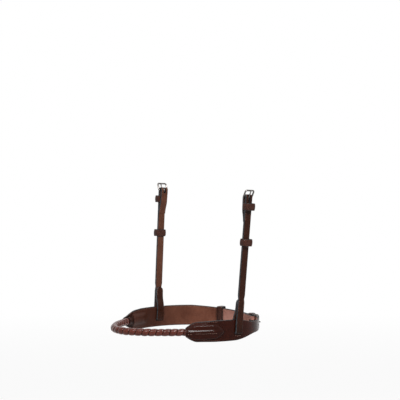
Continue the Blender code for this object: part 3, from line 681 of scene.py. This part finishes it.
def pad_lift(tip_length, arc, height):
    """How far the swell of a pad lifts the outer leather off the loop line."""
    if arc > PAD_END_ARC + PAD_END_LENGTH:
        return 0.0
    behind = arc - PAD_TIP_ARC
    end = max(1 - (PAD_END_ARC - arc) / PAD_END_LENGTH, 0)
    tip = max(1 - behind / tip_length, 0) ** PAD_TIP_POWER
    full = HALF_BAND - PAD_WAIST - PAD_FLANGE
    half = full + (PAD_TIP_HEIGHT / 2 - full) * tip
    blunt = CROWN_SIDE_POWER if end else 1
    # 0 in the middle of the swell, 1 on its outline, more outside it
    reach = ((abs(height) / half) ** blunt + end**CROWN_END_POWER) ** (1 / blunt)
    if reach >= 1:
        crease = bell(reach - 1 - PAD_GROOVE_SHARE, PAD_GROOVE_SHARE)
        return -PAD_GROOVE * crease * ease(0, tip_length, behind)
    ridge = PAD_RIDGE * bell(height, PAD_RIDGE_WIDTH) * (1 - end)
    seam = ease(SEAM_START - 2 * PAD_STEP, SEAM_START, behind)
    seam = seam * (1 - ease(SEAM_END, SEAM_END + 2 * PAD_STEP, behind))
    groove = PAD_GROOVE * seam * bell(height + SEAM_DROP, STITCH_WIDTH)
    top = 1 - reach**CROWN_POWER
    crown = (1 - CROWN_DOME) * top**CROWN_EDGE_POWER + CROWN_DOME * (1 - reach**2)
    return PAD_CROWN * crown + ridge * top - groove


TIP_LENGTHS = {1: NEAR_TIP_LENGTH, -1: FAR_TIP_LENGTH}
PAD_LIFTS = {side: partial(pad_lift, length) for side, length in TIP_LENGTHS.items()}


def lining_lift(arc, height):
    """How far the lining bulges inwards over the core of the nose."""
    behind = arc - PAD_TIP_ARC
    length_share = 1 - ease(CORE_IN_PAD + GAP, PAD_LENGTH, behind)
    reach = min(2 * abs(height) / LINING_BULGE_HEIGHT, 1)
    return -(CORE_DIAMETER / 2) * length_share * (1 - reach**BULGE_POWER)


def tip_half(side, arc):
    """Half the height of a band near its pad's tip."""
    behind = arc - PAD_TIP_ARC
    length = TIP_LENGTHS[side]
    full = HALF_BAND - PAD_WAIST * (1 - ease(length, PAD_WAIST_END, behind))
    tip = max(1 - behind / length, 0) ** PAD_TIP_POWER
    return full + (PAD_TIP_HEIGHT / 2 - full) * tip


def near_half(arc):
    start = SLOT_ARC - NEAR_TAPER_LEAD
    return tip_half(1, arc) + (HALF_STRAP - HALF_BAND) * ease(start, start + NEAR_TAPER, arc)


def far_half(arc):
    share = min(max((arc - SLOT_ARC - FAR_TAPER_START) / FAR_TAPER, 0), 1)
    return tip_half(-1, arc) + (HALF_STRAP - HALF_BAND) * share


def billet_half(arc):
    left = (REAR_ARC + BILLET_REACH - arc) / BILLET_POINT
    return near_half(arc) * sqrt(max(1 - (1 - min(left, 1)) ** 2, BLUNT_BILLET))


def band_rings(side, path, thickness, half, lift, rows):
    """Rings of a leather band along the loop, from (arc, out) pairs; side is 1 near, -1 far."""
    normals = path_normals(path)
    rings = []
    for i, (arc, out) in enumerate(path):
        ring = []
        for height, through, _ in section(half(arc), thickness * end_shares(len(path), i), rows):
            shift = normals[i] * through
            ring.append(on_loop(side * (arc + shift.x), height, out + shift.y + lift(arc, height)))
        rings.append(ring)
    return rings


REAR_BAR = REAR_WIRE / 2
REAR_FOLD = REAR_BAR + GAP + BAND_THICKNESS / 2
REAR_HEEL_ARC = REAR_ARC - REAR_HEEL
REAR_BAR_OUT = OUTER_LAYER - REAR_FOLD
REAR_RAIL_ARC = REAR_HEEL_ARC - REAR_RAIL_REACH
REAR_RAIL_OUT = OUTER_FACE + GAP + REAR_BAR
REAR_HEEL_POINT = on_loop(REAR_HEEL_ARC, 0, REAR_BAR_OUT)
REAR_RAIL_POINT = on_loop(REAR_RAIL_ARC, 0, REAR_RAIL_OUT)
TONGUE_REACH = (REAR_WIRE + REAR_TONGUE_WIRE) / 2 + GAP
RAIL_PASS = REAR_RAIL_ARC + GAP


def billet_out(arc):
    """Middle of the near band's leather, which climbs over the buckle strap as the billet."""
    climb = ease(RAIL_PASS, RAIL_PASS + BILLET_RISE, arc)
    return OUTER_LAYER + (OVERLAY_LAYER - OUTER_LAYER) * climb


PAD_ARCS = spaced(PAD_TIP_ARC, PAD_END_ARC + PAD_END_LENGTH / 4, PAD_STEP)


def near_path():
    tip = REAR_ARC + BILLET_REACH
    arcs = PAD_ARCS + spaced(PAD_ARCS[-1], tip - BILLET_POINT, BAND_STEP)[1:]
    arcs += spaced(tip - BILLET_POINT, tip, PAD_STEP)[1:]
    return [(arc, billet_out(arc)) for arc in arcs]


def far_path():
    """Band, strap, fold round the heel bar and turned end."""
    heel = LOOP_LENGTH - REAR_HEEL_ARC
    keeper_back = TURNED_LAYER - KEEPER_WALL - GAP
    keeper_end = LOOP_LENGTH - REAR_ARC + REAR_FIXED_KEEPER - KEEPER_WIDTH / 2 - GAP
    joined = keeper_end - 2 * CHEEK_TURNED_JOIN
    arcs = PAD_ARCS + spaced(PAD_ARCS[-1], heel, BAND_STEP)[1:-1]
    fold = arc_points((heel, REAR_BAR_OUT), REAR_FOLD, pi / 2, -pi / 2, FOLD_STEPS)
    back = [fold[-1], (keeper_end, keeper_back), (joined, TURNED_LAYER)]
    back.append((REAR_ARC - REAR_TURNED_END, TURNED_LAYER))
    back = resample(soften(back), BAND_STEP)
    return [(arc, OUTER_LAYER) for arc in arcs] + fold + back[1:]


def loop_side(point):
    """Distance of a point outwards from the loop line, less than 0 inside it."""
    flat = np.hypot(LOOP_XY[0] + LOOP_PLACE.x - point.x, LOOP_XY[1] + LOOP_PLACE.y - point.y)
    near_point, _, outward = loop_frame(float(ARCS[int(np.argmin(flat))]))
    return (point - LOOP_PLACE - near_point).dot(outward)


def make_bands():
    profile = section(HALF_BAND, BAND_THICKNESS, PAD_ROWS)
    paths = {1: near_path(), -1: far_path()}
    halves = {1: billet_half, -1: far_half}
    finishes = [BAND_GRAIN, EDGE_DYE, FLESH]
    bands = {}
    for side, word in SIDES:
        path, half, lift = paths[side], halves[side], PAD_LIFTS[side]
        rings = band_rings(side, path, BAND_THICKNESS, half, lift, PAD_ROWS)
        band = finish_piece(word + "_band_leather", skin(rings, profile), finishes)
        for face in band.data.polygons:
            if face.material_index == FACE and loop_side(face.center) < 0:
                face.material_index = BACK
        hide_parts(word + "_band")
        bands[side] = band
    return bands


LINING_START = PAD_TIP_ARC + LINING_SETBACK
LINING_ENDS = {1: SLOT_ARC + NEAR_LINING_END, -1: REAR_ARC - REAR_TURNED_END}
LINING_HALVES = {1: near_half, -1: far_half}


def make_linings():
    profile = section(HALF_BAND, LINING_THICKNESS, LINING_ROWS)
    finishes = [LINING_GRAIN, EDGE_DYE, FLESH]
    linings = {}
    for side, word in SIDES:
        end = LINING_ENDS[side] - (GAP if side < 0 else 0)
        arcs = spaced(LINING_START, end, BAND_STEP)
        # The face of the lining looks inwards, so the path runs the other way
        path = [(arc, LINING_LAYER) for arc in reversed(arcs)]
        half = LINING_HALVES[side]
        rings = band_rings(side, path, LINING_THICKNESS, half, lining_lift, LINING_ROWS)
        lining = finish_piece(word + "_lining", skin(rings, profile), finishes)
        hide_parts(word + "_band_lining")
        linings[side] = lining
    return linings


def make_fillings():
    """Felt that fills each pad between the leather over it and the lining."""
    heights = evenly(HALF_BAND - PAD_WAIST - PAD_FLANGE, FILLING_ROWS)
    for side, word in SIDES:
        rings = []
        for arc in spaced(LINING_START + PAD_STEP, PAD_END_ARC - PAD_END_LENGTH / 4, BAND_STEP):
            outs = [max(PAD_LIFTS[side](arc, height) - GAP, 0) for height in heights]
            ins = [min(lining_lift(arc, height), 0) - GAP / 4 for height in heights]
            around = [*zip(heights, outs), *list(zip(heights, ins))[::-1]]
            rings.append([on_loop(side * arc, height, out) for height, out in around])
        work = skin(rings, [(0, 0, FACE)] * len(rings[0]), cap=FACE)
        filling = finish_piece(word + "_pad_felt", work, [FELT])
        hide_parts(word + "_pad_filler")


# Twisted nose


def make_rope():
    """The leather strip wound round the core: a ribbon whose turns meet in a sharp groove."""
    reach = PAD_TIP_ARC + ROPE_IN_TIP
    turns = 2 * reach / ROPE_PITCH
    steps = round(turns * STRIP_STEPS_A_TURN)
    work = bmesh.new()
    rows = []
    for i in range(steps + 1):
        wound = (i / steps - 0.5) * turns
        angle = 2 * pi * wound + pi
        row = []
        for j in range(STRIP_COLUMNS + 1):
            across = j / STRIP_COLUMNS
            arc = (wound + across - 0.5) * ROPE_PITCH
            bead = (1 - abs(2 * across - 1) ** BEAD_POWER) ** BEAD_ROUNDING
            wobble = sin(WOBBLE_FAST * wound) + sin(WOBBLE_SLOW * wound) * bead
            radius = (ROPE_DIAMETER / 2 - ROPE_GROOVE * (1 - bead)) * (1 + STRIP_WOBBLE * wobble)
            row.append(work.verts.new(on_loop(arc, radius * sin(angle), radius * cos(angle))))
        rows.append(row)
    for here, there in zip(rows, rows[1:]):
        # The columns beside each groove take the darker leather, painted shade in the groove
        for j, face in enumerate(join_rows(work, here, there)):
            face.material_index = int(j in (0, STRIP_COLUMNS - 1))
    bmesh.ops.remove_doubles(work, verts=work.verts[:], dist=GAP / 4)
    open_edges = [edge for edge in work.edges if len(edge.link_faces) == 1]
    bmesh.ops.holes_fill(work, edges=open_edges, sides=0)
    finishes = [ROPE_GRAIN, GROOVE_SHADE]
    rope = finish_piece("twisted_nose", work, finishes, sharp=ROPE_SHARP_ANGLE)
    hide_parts("nose_rope_cover")


def make_tip_linings():
    """Smooth leather that closes each pad's tip over the end of the nose, on the inside."""
    end = LINING_START + 2 * RIM
    clear = ROPE_DIAMETER / 2 + LINING_THICKNESS / 2
    for side, word in SIDES:
        work = bmesh.new()
        rows = []
        for arc in spaced(PAD_TIP_ARC + RIM, end, PAD_STEP):
            half = tip_half(side, arc) - RIM
            behind = ease(PAD_TIP_ARC + ROPE_IN_TIP, LINING_START, arc)
            row = []
            for height in evenly(half, TIP_LINING_ROWS):
                over_rope = clear * (1 - min(abs(height) / clear, 1) ** 2) ** 0.5
                under_lining = -lining_lift(end, height) + LINING_THICKNESS / 2
                out = -GAP / 2 - over_rope * (1 - behind) - under_lining * behind
                row.append(work.verts.new(on_loop(side * arc, height, out)))
            rows.append(row)
        for here, there in zip(rows, rows[1:]):
            join_rows(work, here, there)
        bmesh.ops.solidify(work, geom=work.faces[:], thickness=GAP)
        finish_piece(word + "_tip_lining", work, [LINING_GRAIN])


# Buckles and keepers


def rounded_rectangle(low, high, low_corner, high_corner):
    (x0, y0), (x1, y1), a, b = low, high, low_corner, high_corner
    centres = [(x0 + a, y0 + a), (x1 - a, y0 + a), (x1 - b, y1 - b), (x0 + b, y1 - b)]
    points = []
    for centre, radius, start in zip(centres, (a, a, b, b), (pi, 1.5 * pi, 0, 0.5 * pi)):
        points += arc_points(centre, radius, start, start + pi / 2, CORNER_STEPS)
    return points


def make_wire(name, matrix, points, wire, body, node, shares=None):
    """Steel wire bent along points of the matrix's frame: a ring, or thinned by its shares."""
    curve = bpy.data.curves.new(name, "CURVE")
    curve.dimensions = "3D"
    curve.bevel_depth = wire / 2
    curve.bevel_resolution = WIRE_ROUNDING
    curve.use_fill_caps = True
    spline = curve.splines.new("POLY")
    spline.use_cyclic_u = not shares
    spline.points.add(len(points) - 1)
    for i, point in enumerate(points):
        spline.points[i].co = (*(matrix @ Vector(point)), 1)
        if shares:
            spline.points[i].radius = shares[i]
    curve.materials.append(STEEL)
    piece = add_object(name, curve)
    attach(piece, body)
    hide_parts(node)


def make_buckle(name, prefix, matrix, half_width, wires, depth):
    """Frame and tongue about their heel bar: X along the bar, Z towards the outer bar."""
    wire, tongue_wire = wires
    wide = half_width + FRAME_PLAY + wire / 2
    outline = rounded_rectangle((-wide, 0), (wide, depth), HEEL_CORNER, FRAME_CORNER)
    points = [(x, 0, z) for x, z in outline]
    body, node = prefix + "_buckle", prefix + "_buckle_frame"
    make_wire(name + "_frame", matrix, points, wire, body, node)
    ring = (wire + tongue_wire) / 2 + GAP
    curl = arc_points((0, 0), ring, -2 * pi * TONGUE_RING_SHARE, 0, RING_STEPS)
    shaft = [(ring, z) for z in spaced(0, depth + TONGUE_TIP, MM)[1:]]
    shares = [1.0] * len(curl)
    shares += [1 + (TONGUE_TIP_SHARE - 1) * ((i + 1) / len(shaft)) ** 2 for i in range(len(shaft))]
    points = [(0, y, z) for y, z in curl + shaft]
    body, node = prefix + "_tongue", prefix + "_buckle_tongue"
    make_wire(name + "_tongue", matrix, points, tongue_wire, body, node, shares)


def make_keeper(name, matrix, half_width, back, front, crown, body, node):
    """A creased leather loop round a strap along Z; back and front are its inner faces."""
    wall = KEEPER_WALL / 2
    low = (-half_width - wall, back - wall)
    high = (half_width + wall, front + wall)
    outline = rounded_rectangle(low, high, KEEPER_CORNER - wall, crown - wall)
    outline = resample(outline + outline[:1], KEEPER_STEP)[:-1]
    rings = []
    profile = section(KEEPER_WIDTH / 2, KEEPER_WALL, KEEPER_ROWS, KEEPER_SWELL)
    for i, (x, y) in enumerate(outline):
        after = Vector(outline[(i + 1) % len(outline)])
        way = (after - Vector(outline[i - 1])).normalized()
        rings.append([matrix @ Vector((x + way.y * t, y - way.x * t, a)) for a, t, _ in profile])
    work = skin(rings, profile, closed=True)
    piece = finish_piece(name, work, [KEEPER_GRAIN, EDGE_DYE, STRAP_BACK], body=body)
    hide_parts(node)


# Cheek straps

CHEEK_FOLD = CHEEK_WIRE / 2 + GAP + CHEEK_THICKNESS / 2
LEG_FOOT = OUTER_FACE + CHEEK_BAND_GAP + CHEEK_THICKNESS / 2
LEG_HEAD = CHEEK_LEAN_OUT + CHEEK_FOLD
LEG_BEND = BAND_HEIGHT / 2 + SLOT_DROP + CHEEK_BEND_RISE
PAIR = CHEEK_THICKNESS + GAP


def leg_out(up):
    """Middle of the outer leg at a height above the slot, from the loop line outwards."""
    share = max(up - LEG_BEND, 0) / (CHEEK_LENGTH - LEG_BEND)
    return LEG_FOOT + (LEG_HEAD - LEG_FOOT) * share


def cheek_path():
    """The strap's middle line as (out, up): turned end, fold, outer leg, slot and inner tail."""
    apart = CHEEK_THICKNESS + KEEPER_WALL + 2 * GAP
    keeper_low = CHEEK_LENGTH - FIXED_KEEPER_DROP - KEEPER_WIDTH / 2 - GAP
    turned_ups = (CHEEK_LENGTH - CHEEK_TURNED_END, keeper_low - CHEEK_TURNED_JOIN)
    fold = arc_points((CHEEK_LEAN_OUT, CHEEK_LENGTH), CHEEK_FOLD, pi, 0, CHEEK_FOLD_STEPS)
    turned = [(leg_out(up) - PAIR, up) for up in turned_ups]
    turned += [(leg_out(keeper_low) - apart, keeper_low), fold[0]]
    leg = [fold[-1], (leg_out(LEG_BEND), LEG_BEND), (LEG_FOOT, SLOT_BEND)]
    bend = arc_points((LEG_FOOT - SLOT_BEND, SLOT_BEND), SLOT_BEND, 0, -pi / 2, CORNER_STEPS)
    tail_foot = LINING_LAYER - (LINING_THICKNESS + CHEEK_THICKNESS) / 2 - CHEEK_BAND_GAP
    bend += arc_points((tail_foot + SLOT_BEND, SLOT_BEND), SLOT_BEND, -pi / 2, -pi, CORNER_STEPS)
    tail = [bend[-1], (tail_foot, LEG_BEND)]
    tail += [(leg_out(up) - PAIR, up) for up in (LEG_BEND + CHEEK_TAIL_JOIN, CHEEK_TAIL)]
    turned, leg, tail = [resample(soften(part), CHEEK_STEP) for part in (turned, leg, tail)]
    return turned + fold[1:] + leg[1:] + bend + tail[1:]


def cheek_matrix(side):
    """Frame at the slot of one side: X along the strap's width, Y outwards, Z up the strap."""
    mirror = Matrix.Diagonal((side, 1, 1))
    outward, rise, middle = [mirror @ each for each in (SLOT_OUT, CHEEK_RISE, SLOT_POINT)]
    up = rise.normalized()
    return axes_matrix(outward.cross(up), outward, up, middle)


def turned_share(up):
    """How thick the turned end is at a height, because it is skived towards its cut."""
    return ease(-SKIVE_LENGTH / 4, SKIVE_LENGTH, up - CHEEK_LENGTH + CHEEK_TURNED_END)


def cheek_rings(at_slot):
    """Rings of the strap along its path, thinned at its turned end and rounded at its tail."""
    path = cheek_path()
    normals = path_normals(path)
    length = len(path)
    rings = []
    for i, (out, up) in enumerate(path):
        left = np.hypot(out - path[-1][0], up - path[-1][1]) / TAIL_POINT
        left = min(left, 1) if i > length / 2 else 1
        rounded = sqrt(max(1 - (1 - left) ** 2, BLUNT_TAIL))
        turned = i < length / 2 and out < leg_out(up) - PAIR / 2
        skived = turned_share(up) if turned else 1.0
        inward = (1 - skived) * CHEEK_THICKNESS / 2
        thick = CHEEK_THICKNESS * skived * end_shares(length, i)
        ring = []
        for across, through, _ in section(CHEEK_WIDTH / 2 * rounded, thick, CHEEK_ROWS):
            shift = normals[i] * through
            ring.append(at_slot @ Vector((across, out + inward + shift.x, up + shift.y)))
        rings.append(ring)
    return rings


def make_cheek_strap(word, at_slot, heel):
    """The strap's leather, with its slots for the tongue."""
    profile = section(CHEEK_WIDTH / 2, CHEEK_THICKNESS, CHEEK_ROWS)
    work = skin(cheek_rings(at_slot), profile)
    strap = finish_piece(word + "_cheek_leather", work, [STRAP_GRAIN, STRAP_EDGE_DYE_AND_SHEEN, STRAP_BACK])
    upright = at_slot.inverted()
    for face in strap.data.polygons:
        place = upright @ face.center
        looks_in = place.z > CHEEK_TAIL and place.y < leg_out(place.z) - CHEEK_THICKNESS / 2
        if face.material_index == FACE and looks_in:
            face.material_index = BACK
    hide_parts(word + "_cheek_strap")
    fold = CHEEK_FOLD + CHEEK_THICKNESS
    half_slot = CHEEK_TONGUE_SLOT / 2
    cut_out(strap, (-half_slot, 0, -CHEEK_TONGUE_SLOT_REACH), (half_slot, fold, fold), heel)
    cut_out(strap, (-half_slot, -fold, -CHEEK_RING_SLOT_REACH), (half_slot, 0, fold), heel)


def make_cheek(side, word, band, lining):
    at_slot = cheek_matrix(side)
    heel = at_slot @ Matrix.Translation((0, CHEEK_LEAN_OUT, CHEEK_LENGTH))
    make_cheek_strap(word, at_slot, heel)
    half = CHEEK_THICKNESS / 2
    corner = Vector((CHEEK_WIDTH / 2 + SLOT_PLAY, LEG_FOOT * 2, half + SLOT_PLAY))
    for each in (band, lining):
        cut_out(each, -corner, corner, at_slot)
    tilted = heel @ Matrix.Rotation(-CHEEK_FRAME_TILT, 4, "X")
    prefix = word + "_cheek"
    wires = (CHEEK_WIRE, CHEEK_TONGUE_WIRE)
    make_buckle(prefix + "_buckle", prefix, tilted, CHEEK_WIDTH / 2, wires, CHEEK_FRAME_DEPTH)
    lean = Matrix.Rotation(-atan2(LEG_HEAD - LEG_FOOT, CHEEK_LENGTH - LEG_BEND), 4, "X")
    inner = (CHEEK_WIDTH / 2 + KEEPER_SIDE_PLAY, -half - GAP, half + BILLET_ROOM)
    keepers = {"fixed": (FIXED_KEEPER_DROP, "noseband")}
    keepers["running"] = (RUNNING_KEEPER_DROP, prefix + "_keeper")
    for kind, (drop, body) in keepers.items():
        up = CHEEK_LENGTH - drop
        on_leg = at_slot @ Matrix.Translation((0, leg_out(up), up)) @ lean
        name = f"{prefix}_{kind}"
        make_keeper(name + "_loop", on_leg, *inner, KEEPER_CROWN, body, name + "_keeper")
    sew_cheek(word, at_slot)


def sew_cheek(word, at_slot):
    """Stitches that hold the turned end and the inner tail to the outer leg, on both faces."""
    turned_low = CHEEK_LENGTH - CHEEK_TURNED_END + CHEEK_TURNED_JOIN / 2
    turned = (turned_low, CHEEK_LENGTH - FIXED_KEEPER_DROP - KEEPER_WIDTH)
    tail = (LEG_BEND + CHEEK_TAIL_JOIN, CHEEK_TAIL - TAIL_POINT / 2)
    width_way, outward, along = [at_slot.col[axis].to_3d() for axis in range(3)]
    spots = []
    for low, high in (turned, tail):
        for up in spaced(low, high, STITCH_PITCH):
            share = turned_share(up) if low == turned_low else 1.0
            face = leg_out(up) + CHEEK_THICKNESS / 2
            back = leg_out(up) - PAIR + CHEEK_THICKNESS * (0.5 - share)
            for across in evenly(CHEEK_WIDTH / 2 - CREASE_IN, 1):
                spots.append((at_slot @ Vector((across, face, up)), along, outward))
                spots.append((at_slot @ Vector((across, back, up)), along, -outward))
    sew(word + "_cheek_stitches", spots, BROWN_THREAD)
    foot = []
    up = -CHEEK_THICKNESS / 2 - STITCH_INSET
    for across in evenly(CHEEK_WIDTH / 3, 2):
        foot.append((at_slot @ Vector((across, OUTER_FACE, up)), width_way, outward))
    sew(word + "_slot_stitches", foot, TAN_THREAD)


# Closure behind the jaw


def strap_matrix(arc):
    """Frame on the loop: X up, Y outwards, Z along the strap."""
    point, _, outward = loop_frame(arc)
    upward = Vector((0, 0, 1))
    return axes_matrix(upward, outward, upward.cross(outward), point + LOOP_PLACE)


def used_hole(lift):
    """Arc at which the tongue's shaft passes through the billet; lift is the shaft's way out."""

    def miss(arc):
        rise = (on_loop(arc, 0, billet_out(arc)) - REAR_HEEL_POINT).dot(lift)
        return abs(rise - TONGUE_REACH)

    return min(spaced(REAR_RAIL_ARC, REAR_HEEL_ARC, GAP / 3), key=miss)


def make_rear_closure(bands):
    """The jaw buckle, the slot and holes that it needs, and the two keepers beside it."""
    reach = REAR_RAIL_POINT - REAR_HEEL_POINT
    toward_rail = reach.normalized()
    lift = Vector((-toward_rail.y, toward_rail.x, 0))
    lift = lift if lift.dot(loop_frame(REAR_HEEL_ARC)[2]) > 0 else -lift
    used = used_hole(lift)
    heel = axes_matrix(lift.cross(toward_rail), lift, toward_rail, REAR_HEEL_POINT)
    wires = (REAR_WIRE, REAR_TONGUE_WIRE)
    make_buckle("jaw_buckle", "rear", heel, HALF_STRAP, wires, reach.length)
    level = strap_matrix(REAR_HEEL_ARC)
    level.translation = REAR_HEEL_POINT
    corner = Vector((REAR_TONGUE_SLOT / 2, REAR_FOLD + BAND_THICKNESS, REAR_TONGUE_SLOT_REACH))
    cut_out(bands[-1], -corner, corner, level)
    for i in range(-BILLET_HOLES_BEHIND, BILLET_HOLES_AHEAD + 1):
        arc = used + i * BILLET_HOLE_PITCH
        long, tall = (BILLET_HOLE, BILLET_HOLE) if i else (USED_HOLE_LENGTH, REAR_TONGUE_SLOT)
        out = billet_out(arc)
        low = (-tall / 2, out - BAND_THICKNESS, -long / 2)
        high = (tall / 2, out + BAND_THICKNESS, long / 2)
        cut_out(bands[1], low, high, strap_matrix(arc), round_hole=True)
    front = OVERLAY_LAYER + BAND_THICKNESS / 2 + REAR_KEEPER_PLAY
    place = strap_matrix(REAR_ARC - REAR_FIXED_KEEPER)
    inner = (HALF_STRAP + KEEPER_SIDE_PLAY, -GAP / 2, front)
    make_keeper("jaw_fixed_loop", place, *inner, KEEPER_CORNER, "noseband", "rear_fixed_keeper")
    slide = REAR_ARC - REAR_RUNNING_KEEPER
    half = far_half(slide - KEEPER_WIDTH / 2) + KEEPER_SIDE_PLAY
    inner = (half, TURNED_LAYER - BAND_THICKNESS / 2 - REAR_KEEPER_PLAY, front)
    place = strap_matrix(-slide)
    body, node = "rear_keeper", "rear_running_keeper"
    make_keeper("jaw_running_loop", place, *inner, KEEPER_CORNER, body, node)


# Stitching of the bands


def seam_spot(side, arc, height, lift, layer):
    """A stitch's place on a face of a band or lining, with its way along and out of the face."""

    def spot(a, h):
        return on_loop(side * a, h, layer + lift(a, h))

    here = spot(arc, height)
    along = spot(arc + PAD_STEP / 2, height) - spot(arc - PAD_STEP / 2, height)
    upward = spot(arc, height + PAD_STEP / 2) - spot(arc, height - PAD_STEP / 2)
    outward = along.cross(upward).normalized()
    radial = here - LOOP_PLACE
    radial.z = 0
    if (outward.dot(radial) < 0) != (layer < 0):
        outward = -outward
    return here, along, outward


def sew_bands():
    inner = LINING_LAYER - LINING_THICKNESS / 2
    inner_start = LINING_START + STITCH_INSET
    for side, word in SIDES:
        half = LINING_HALVES[side]
        lift = PAD_LIFTS[side]
        inner_end = LINING_ENDS[side] - STITCH_INSET
        ridge = []
        for low, high in ((SEAM_START, SEAM_END), (SEAM_START / 4, SEAM_START / 2)):
            for arc in spaced(PAD_TIP_ARC + low, PAD_TIP_ARC + high, STITCH_PITCH):
                ridge.append(seam_spot(side, arc, -SEAM_DROP, lift, OUTER_FACE))
        sew(word + "_pad_seam_stitches", ridge, TAN_THREAD)
        rows, inside = [], []
        for arc in spaced(PAD_TIP_ARC + TIP_LENGTHS[side] / 2, inner_end, STITCH_PITCH):
            for up in (-1, 1):
                height = up * (half(arc) - CREASE_IN)
                if arc < PAD_END_ARC - PAD_END_LENGTH / 2:
                    rows.append(seam_spot(side, arc, height, lift, OUTER_FACE))
                if arc > inner_start:
                    inside.append(seam_spot(side, arc, height, lining_lift, inner))
        sew(word + "_edge_stitches", rows, BROWN_THREAD)
        for arc in (inner_start, inner_end):
            edge = half(arc) - STITCH_INSET
            for height in spaced(-edge, edge, STITCH_PITCH):
                here, _, outward = seam_spot(side, arc, height, lining_lift, inner)
                inside.append((here, Vector((0, 0, 1)), outward))
        sew(word + "_lining_stitches", inside, DARK_THREAD)


# Stage, lamps and camera

CAMERA_X = 2314.8 * MM
CAMERA_Y = -1758.6 * MM  # from the middle of the loop
CAMERA_Z = 389.6 * MM  # above the middle of the band
CAMERA_HEADING = radians(52.35)
CAMERA_DIP = radians(3.89)
SENSOR = 36.0  # mm, as is the lens
LENS = 170.2


def make_camera():
    camera = bpy.data.cameras.new("camera")
    camera.sensor_width = SENSOR
    camera.lens = LENS
    seen = add_object("camera", camera)
    seen.location = LOOP_PLACE + Vector((CAMERA_X, CAMERA_Y, CAMERA_Z))
    seen.rotation_euler = (pi / 2 - CAMERA_DIP, 0, CAMERA_HEADING)
    bpy.context.scene.camera = seen


# Softboxes: azimuth from -Y towards +X and elevation in degrees, distance, size and watts
SOFTBOXES = {
    "front_box": (25, 44, 1.5, (0.7, 0.14), 9.5),
    "key_box": (83, 46, 1.5, (0.55, 0.09), 17.0),
    "top_box": (60, 88, 1.3, (0.9, 0.2), 2.5),
    "side_box": (125, 35, 1.6, (0.3, 0.8), 1.5),
    "back_box": (235, 45, 1.6, (0.8, 0.3), 3.0),
}


def make_lamps():
    """Softboxes that face the band."""
    centre = (CAD_LOW + CAD_HIGH) / 2
    centre.z = BAND_LOW.z
    for name, (azimuth, elevation, distance, size, power) in SOFTBOXES.items():
        lamp = bpy.data.lights.new(name, "AREA")
        lamp.shape = "RECTANGLE"
        lamp.size, lamp.size_y = size
        lamp.energy = power
        box = add_object(name, lamp)
        a, e = radians(azimuth), radians(elevation)
        away = Vector((sin(a) * cos(e), -cos(a) * cos(e), sin(e)))
        box.location = centre + away * distance
        box.rotation_euler = away.to_track_quat("Z", "Y").to_euler()


FLOOR_DROP = 0.25  # below the noseband, which hangs
FLOOR_RADIUS = 30.0
FLOOR_EDGES = 96
FLOOR_NEAR = 0.3  # the floor goes over to white between these distances
FLOOR_FAR = 2.2
FLOOR_GREYS = ((0.86, 0.86, 0.86, 1), (0.9, 0.9, 0.9, 1))
WHITE_SHARE = 0.78  # near the noseband, so that the rest takes its shadow
SOFT_UP = 0.38
SOFT_DOWN = 0.08
WHITE = (1, 1, 1, 1)


def make_floor():
    """A pale floor that looks white and still takes the noseband's shadow."""
    work = bmesh.new()
    bmesh.ops.create_circle(work, cap_ends=True, segments=FLOOR_EDGES, radius=FLOOR_RADIUS)
    paint = Finish("floor_paint", 0.9, 0.1)
    cloud = paint.noise(paint.place(), 1.0, 2.0)
    painted = paint.wear(paint.blend(cloud, *FLOOR_GREYS))
    floor = add_object("floor", mesh_of("floor", work, [painted]))
    floor.location = (0, 0, CAD_LOW.z - FLOOR_DROP)
    away = paint.node("ShaderNodeVectorMath", {"operation": "LENGTH"}, {0: paint.place()}, "Value")
    share = paint.shown_background() * paint.spread(away, FLOOR_NEAR, FLOOR_FAR, WHITE_SHARE, 1.0)
    own = Value(paint, paint.shader.outputs[0])
    paint.background("Material Output", share, own, paint.node("ShaderNodeEmission", {}, {}))


def make_world():
    """Soft grey light, stronger from above, before a plain white background."""
    world = bpy.data.worlds.new("studio")
    bpy.context.scene.world = world
    air = Nodes(world)
    way = air.node("ShaderNodeTexCoord", {}, {}, "Generated")
    rise = air.node("ShaderNodeSeparateXYZ", {}, {0: way}, "Z")
    strength = air.spread(rise, -1, 1, SOFT_DOWN, SOFT_UP)
    soft = air.node("ShaderNodeBackground", {}, {"Color": WHITE, "Strength": strength})
    white = air.node("ShaderNodeBackground", {}, {"Color": WHITE})
    air.background("World Output", air.shown_background(), soft, white)


def paint_core():
    """The cord inside the nose stays as it is, under the leather."""
    node = frame["nodes"]["nose_rope_core"]
    node.data.materials.clear()
    node.data.materials.append(CORD)


def main():
    """The stage, and then the noseband from the inside out."""
    bpy.context.scene.view_settings.view_transform = "Standard"
    make_world()
    make_lamps()
    make_camera()
    make_floor()
    paint_core()
    make_fillings()
    bands = make_bands()
    linings = make_linings()
    make_rope()
    make_tip_linings()
    for side, word in SIDES:
        make_cheek(side, word, bands[side], linings[side])
    make_rear_closure(bands)
    sew_bands()


main()
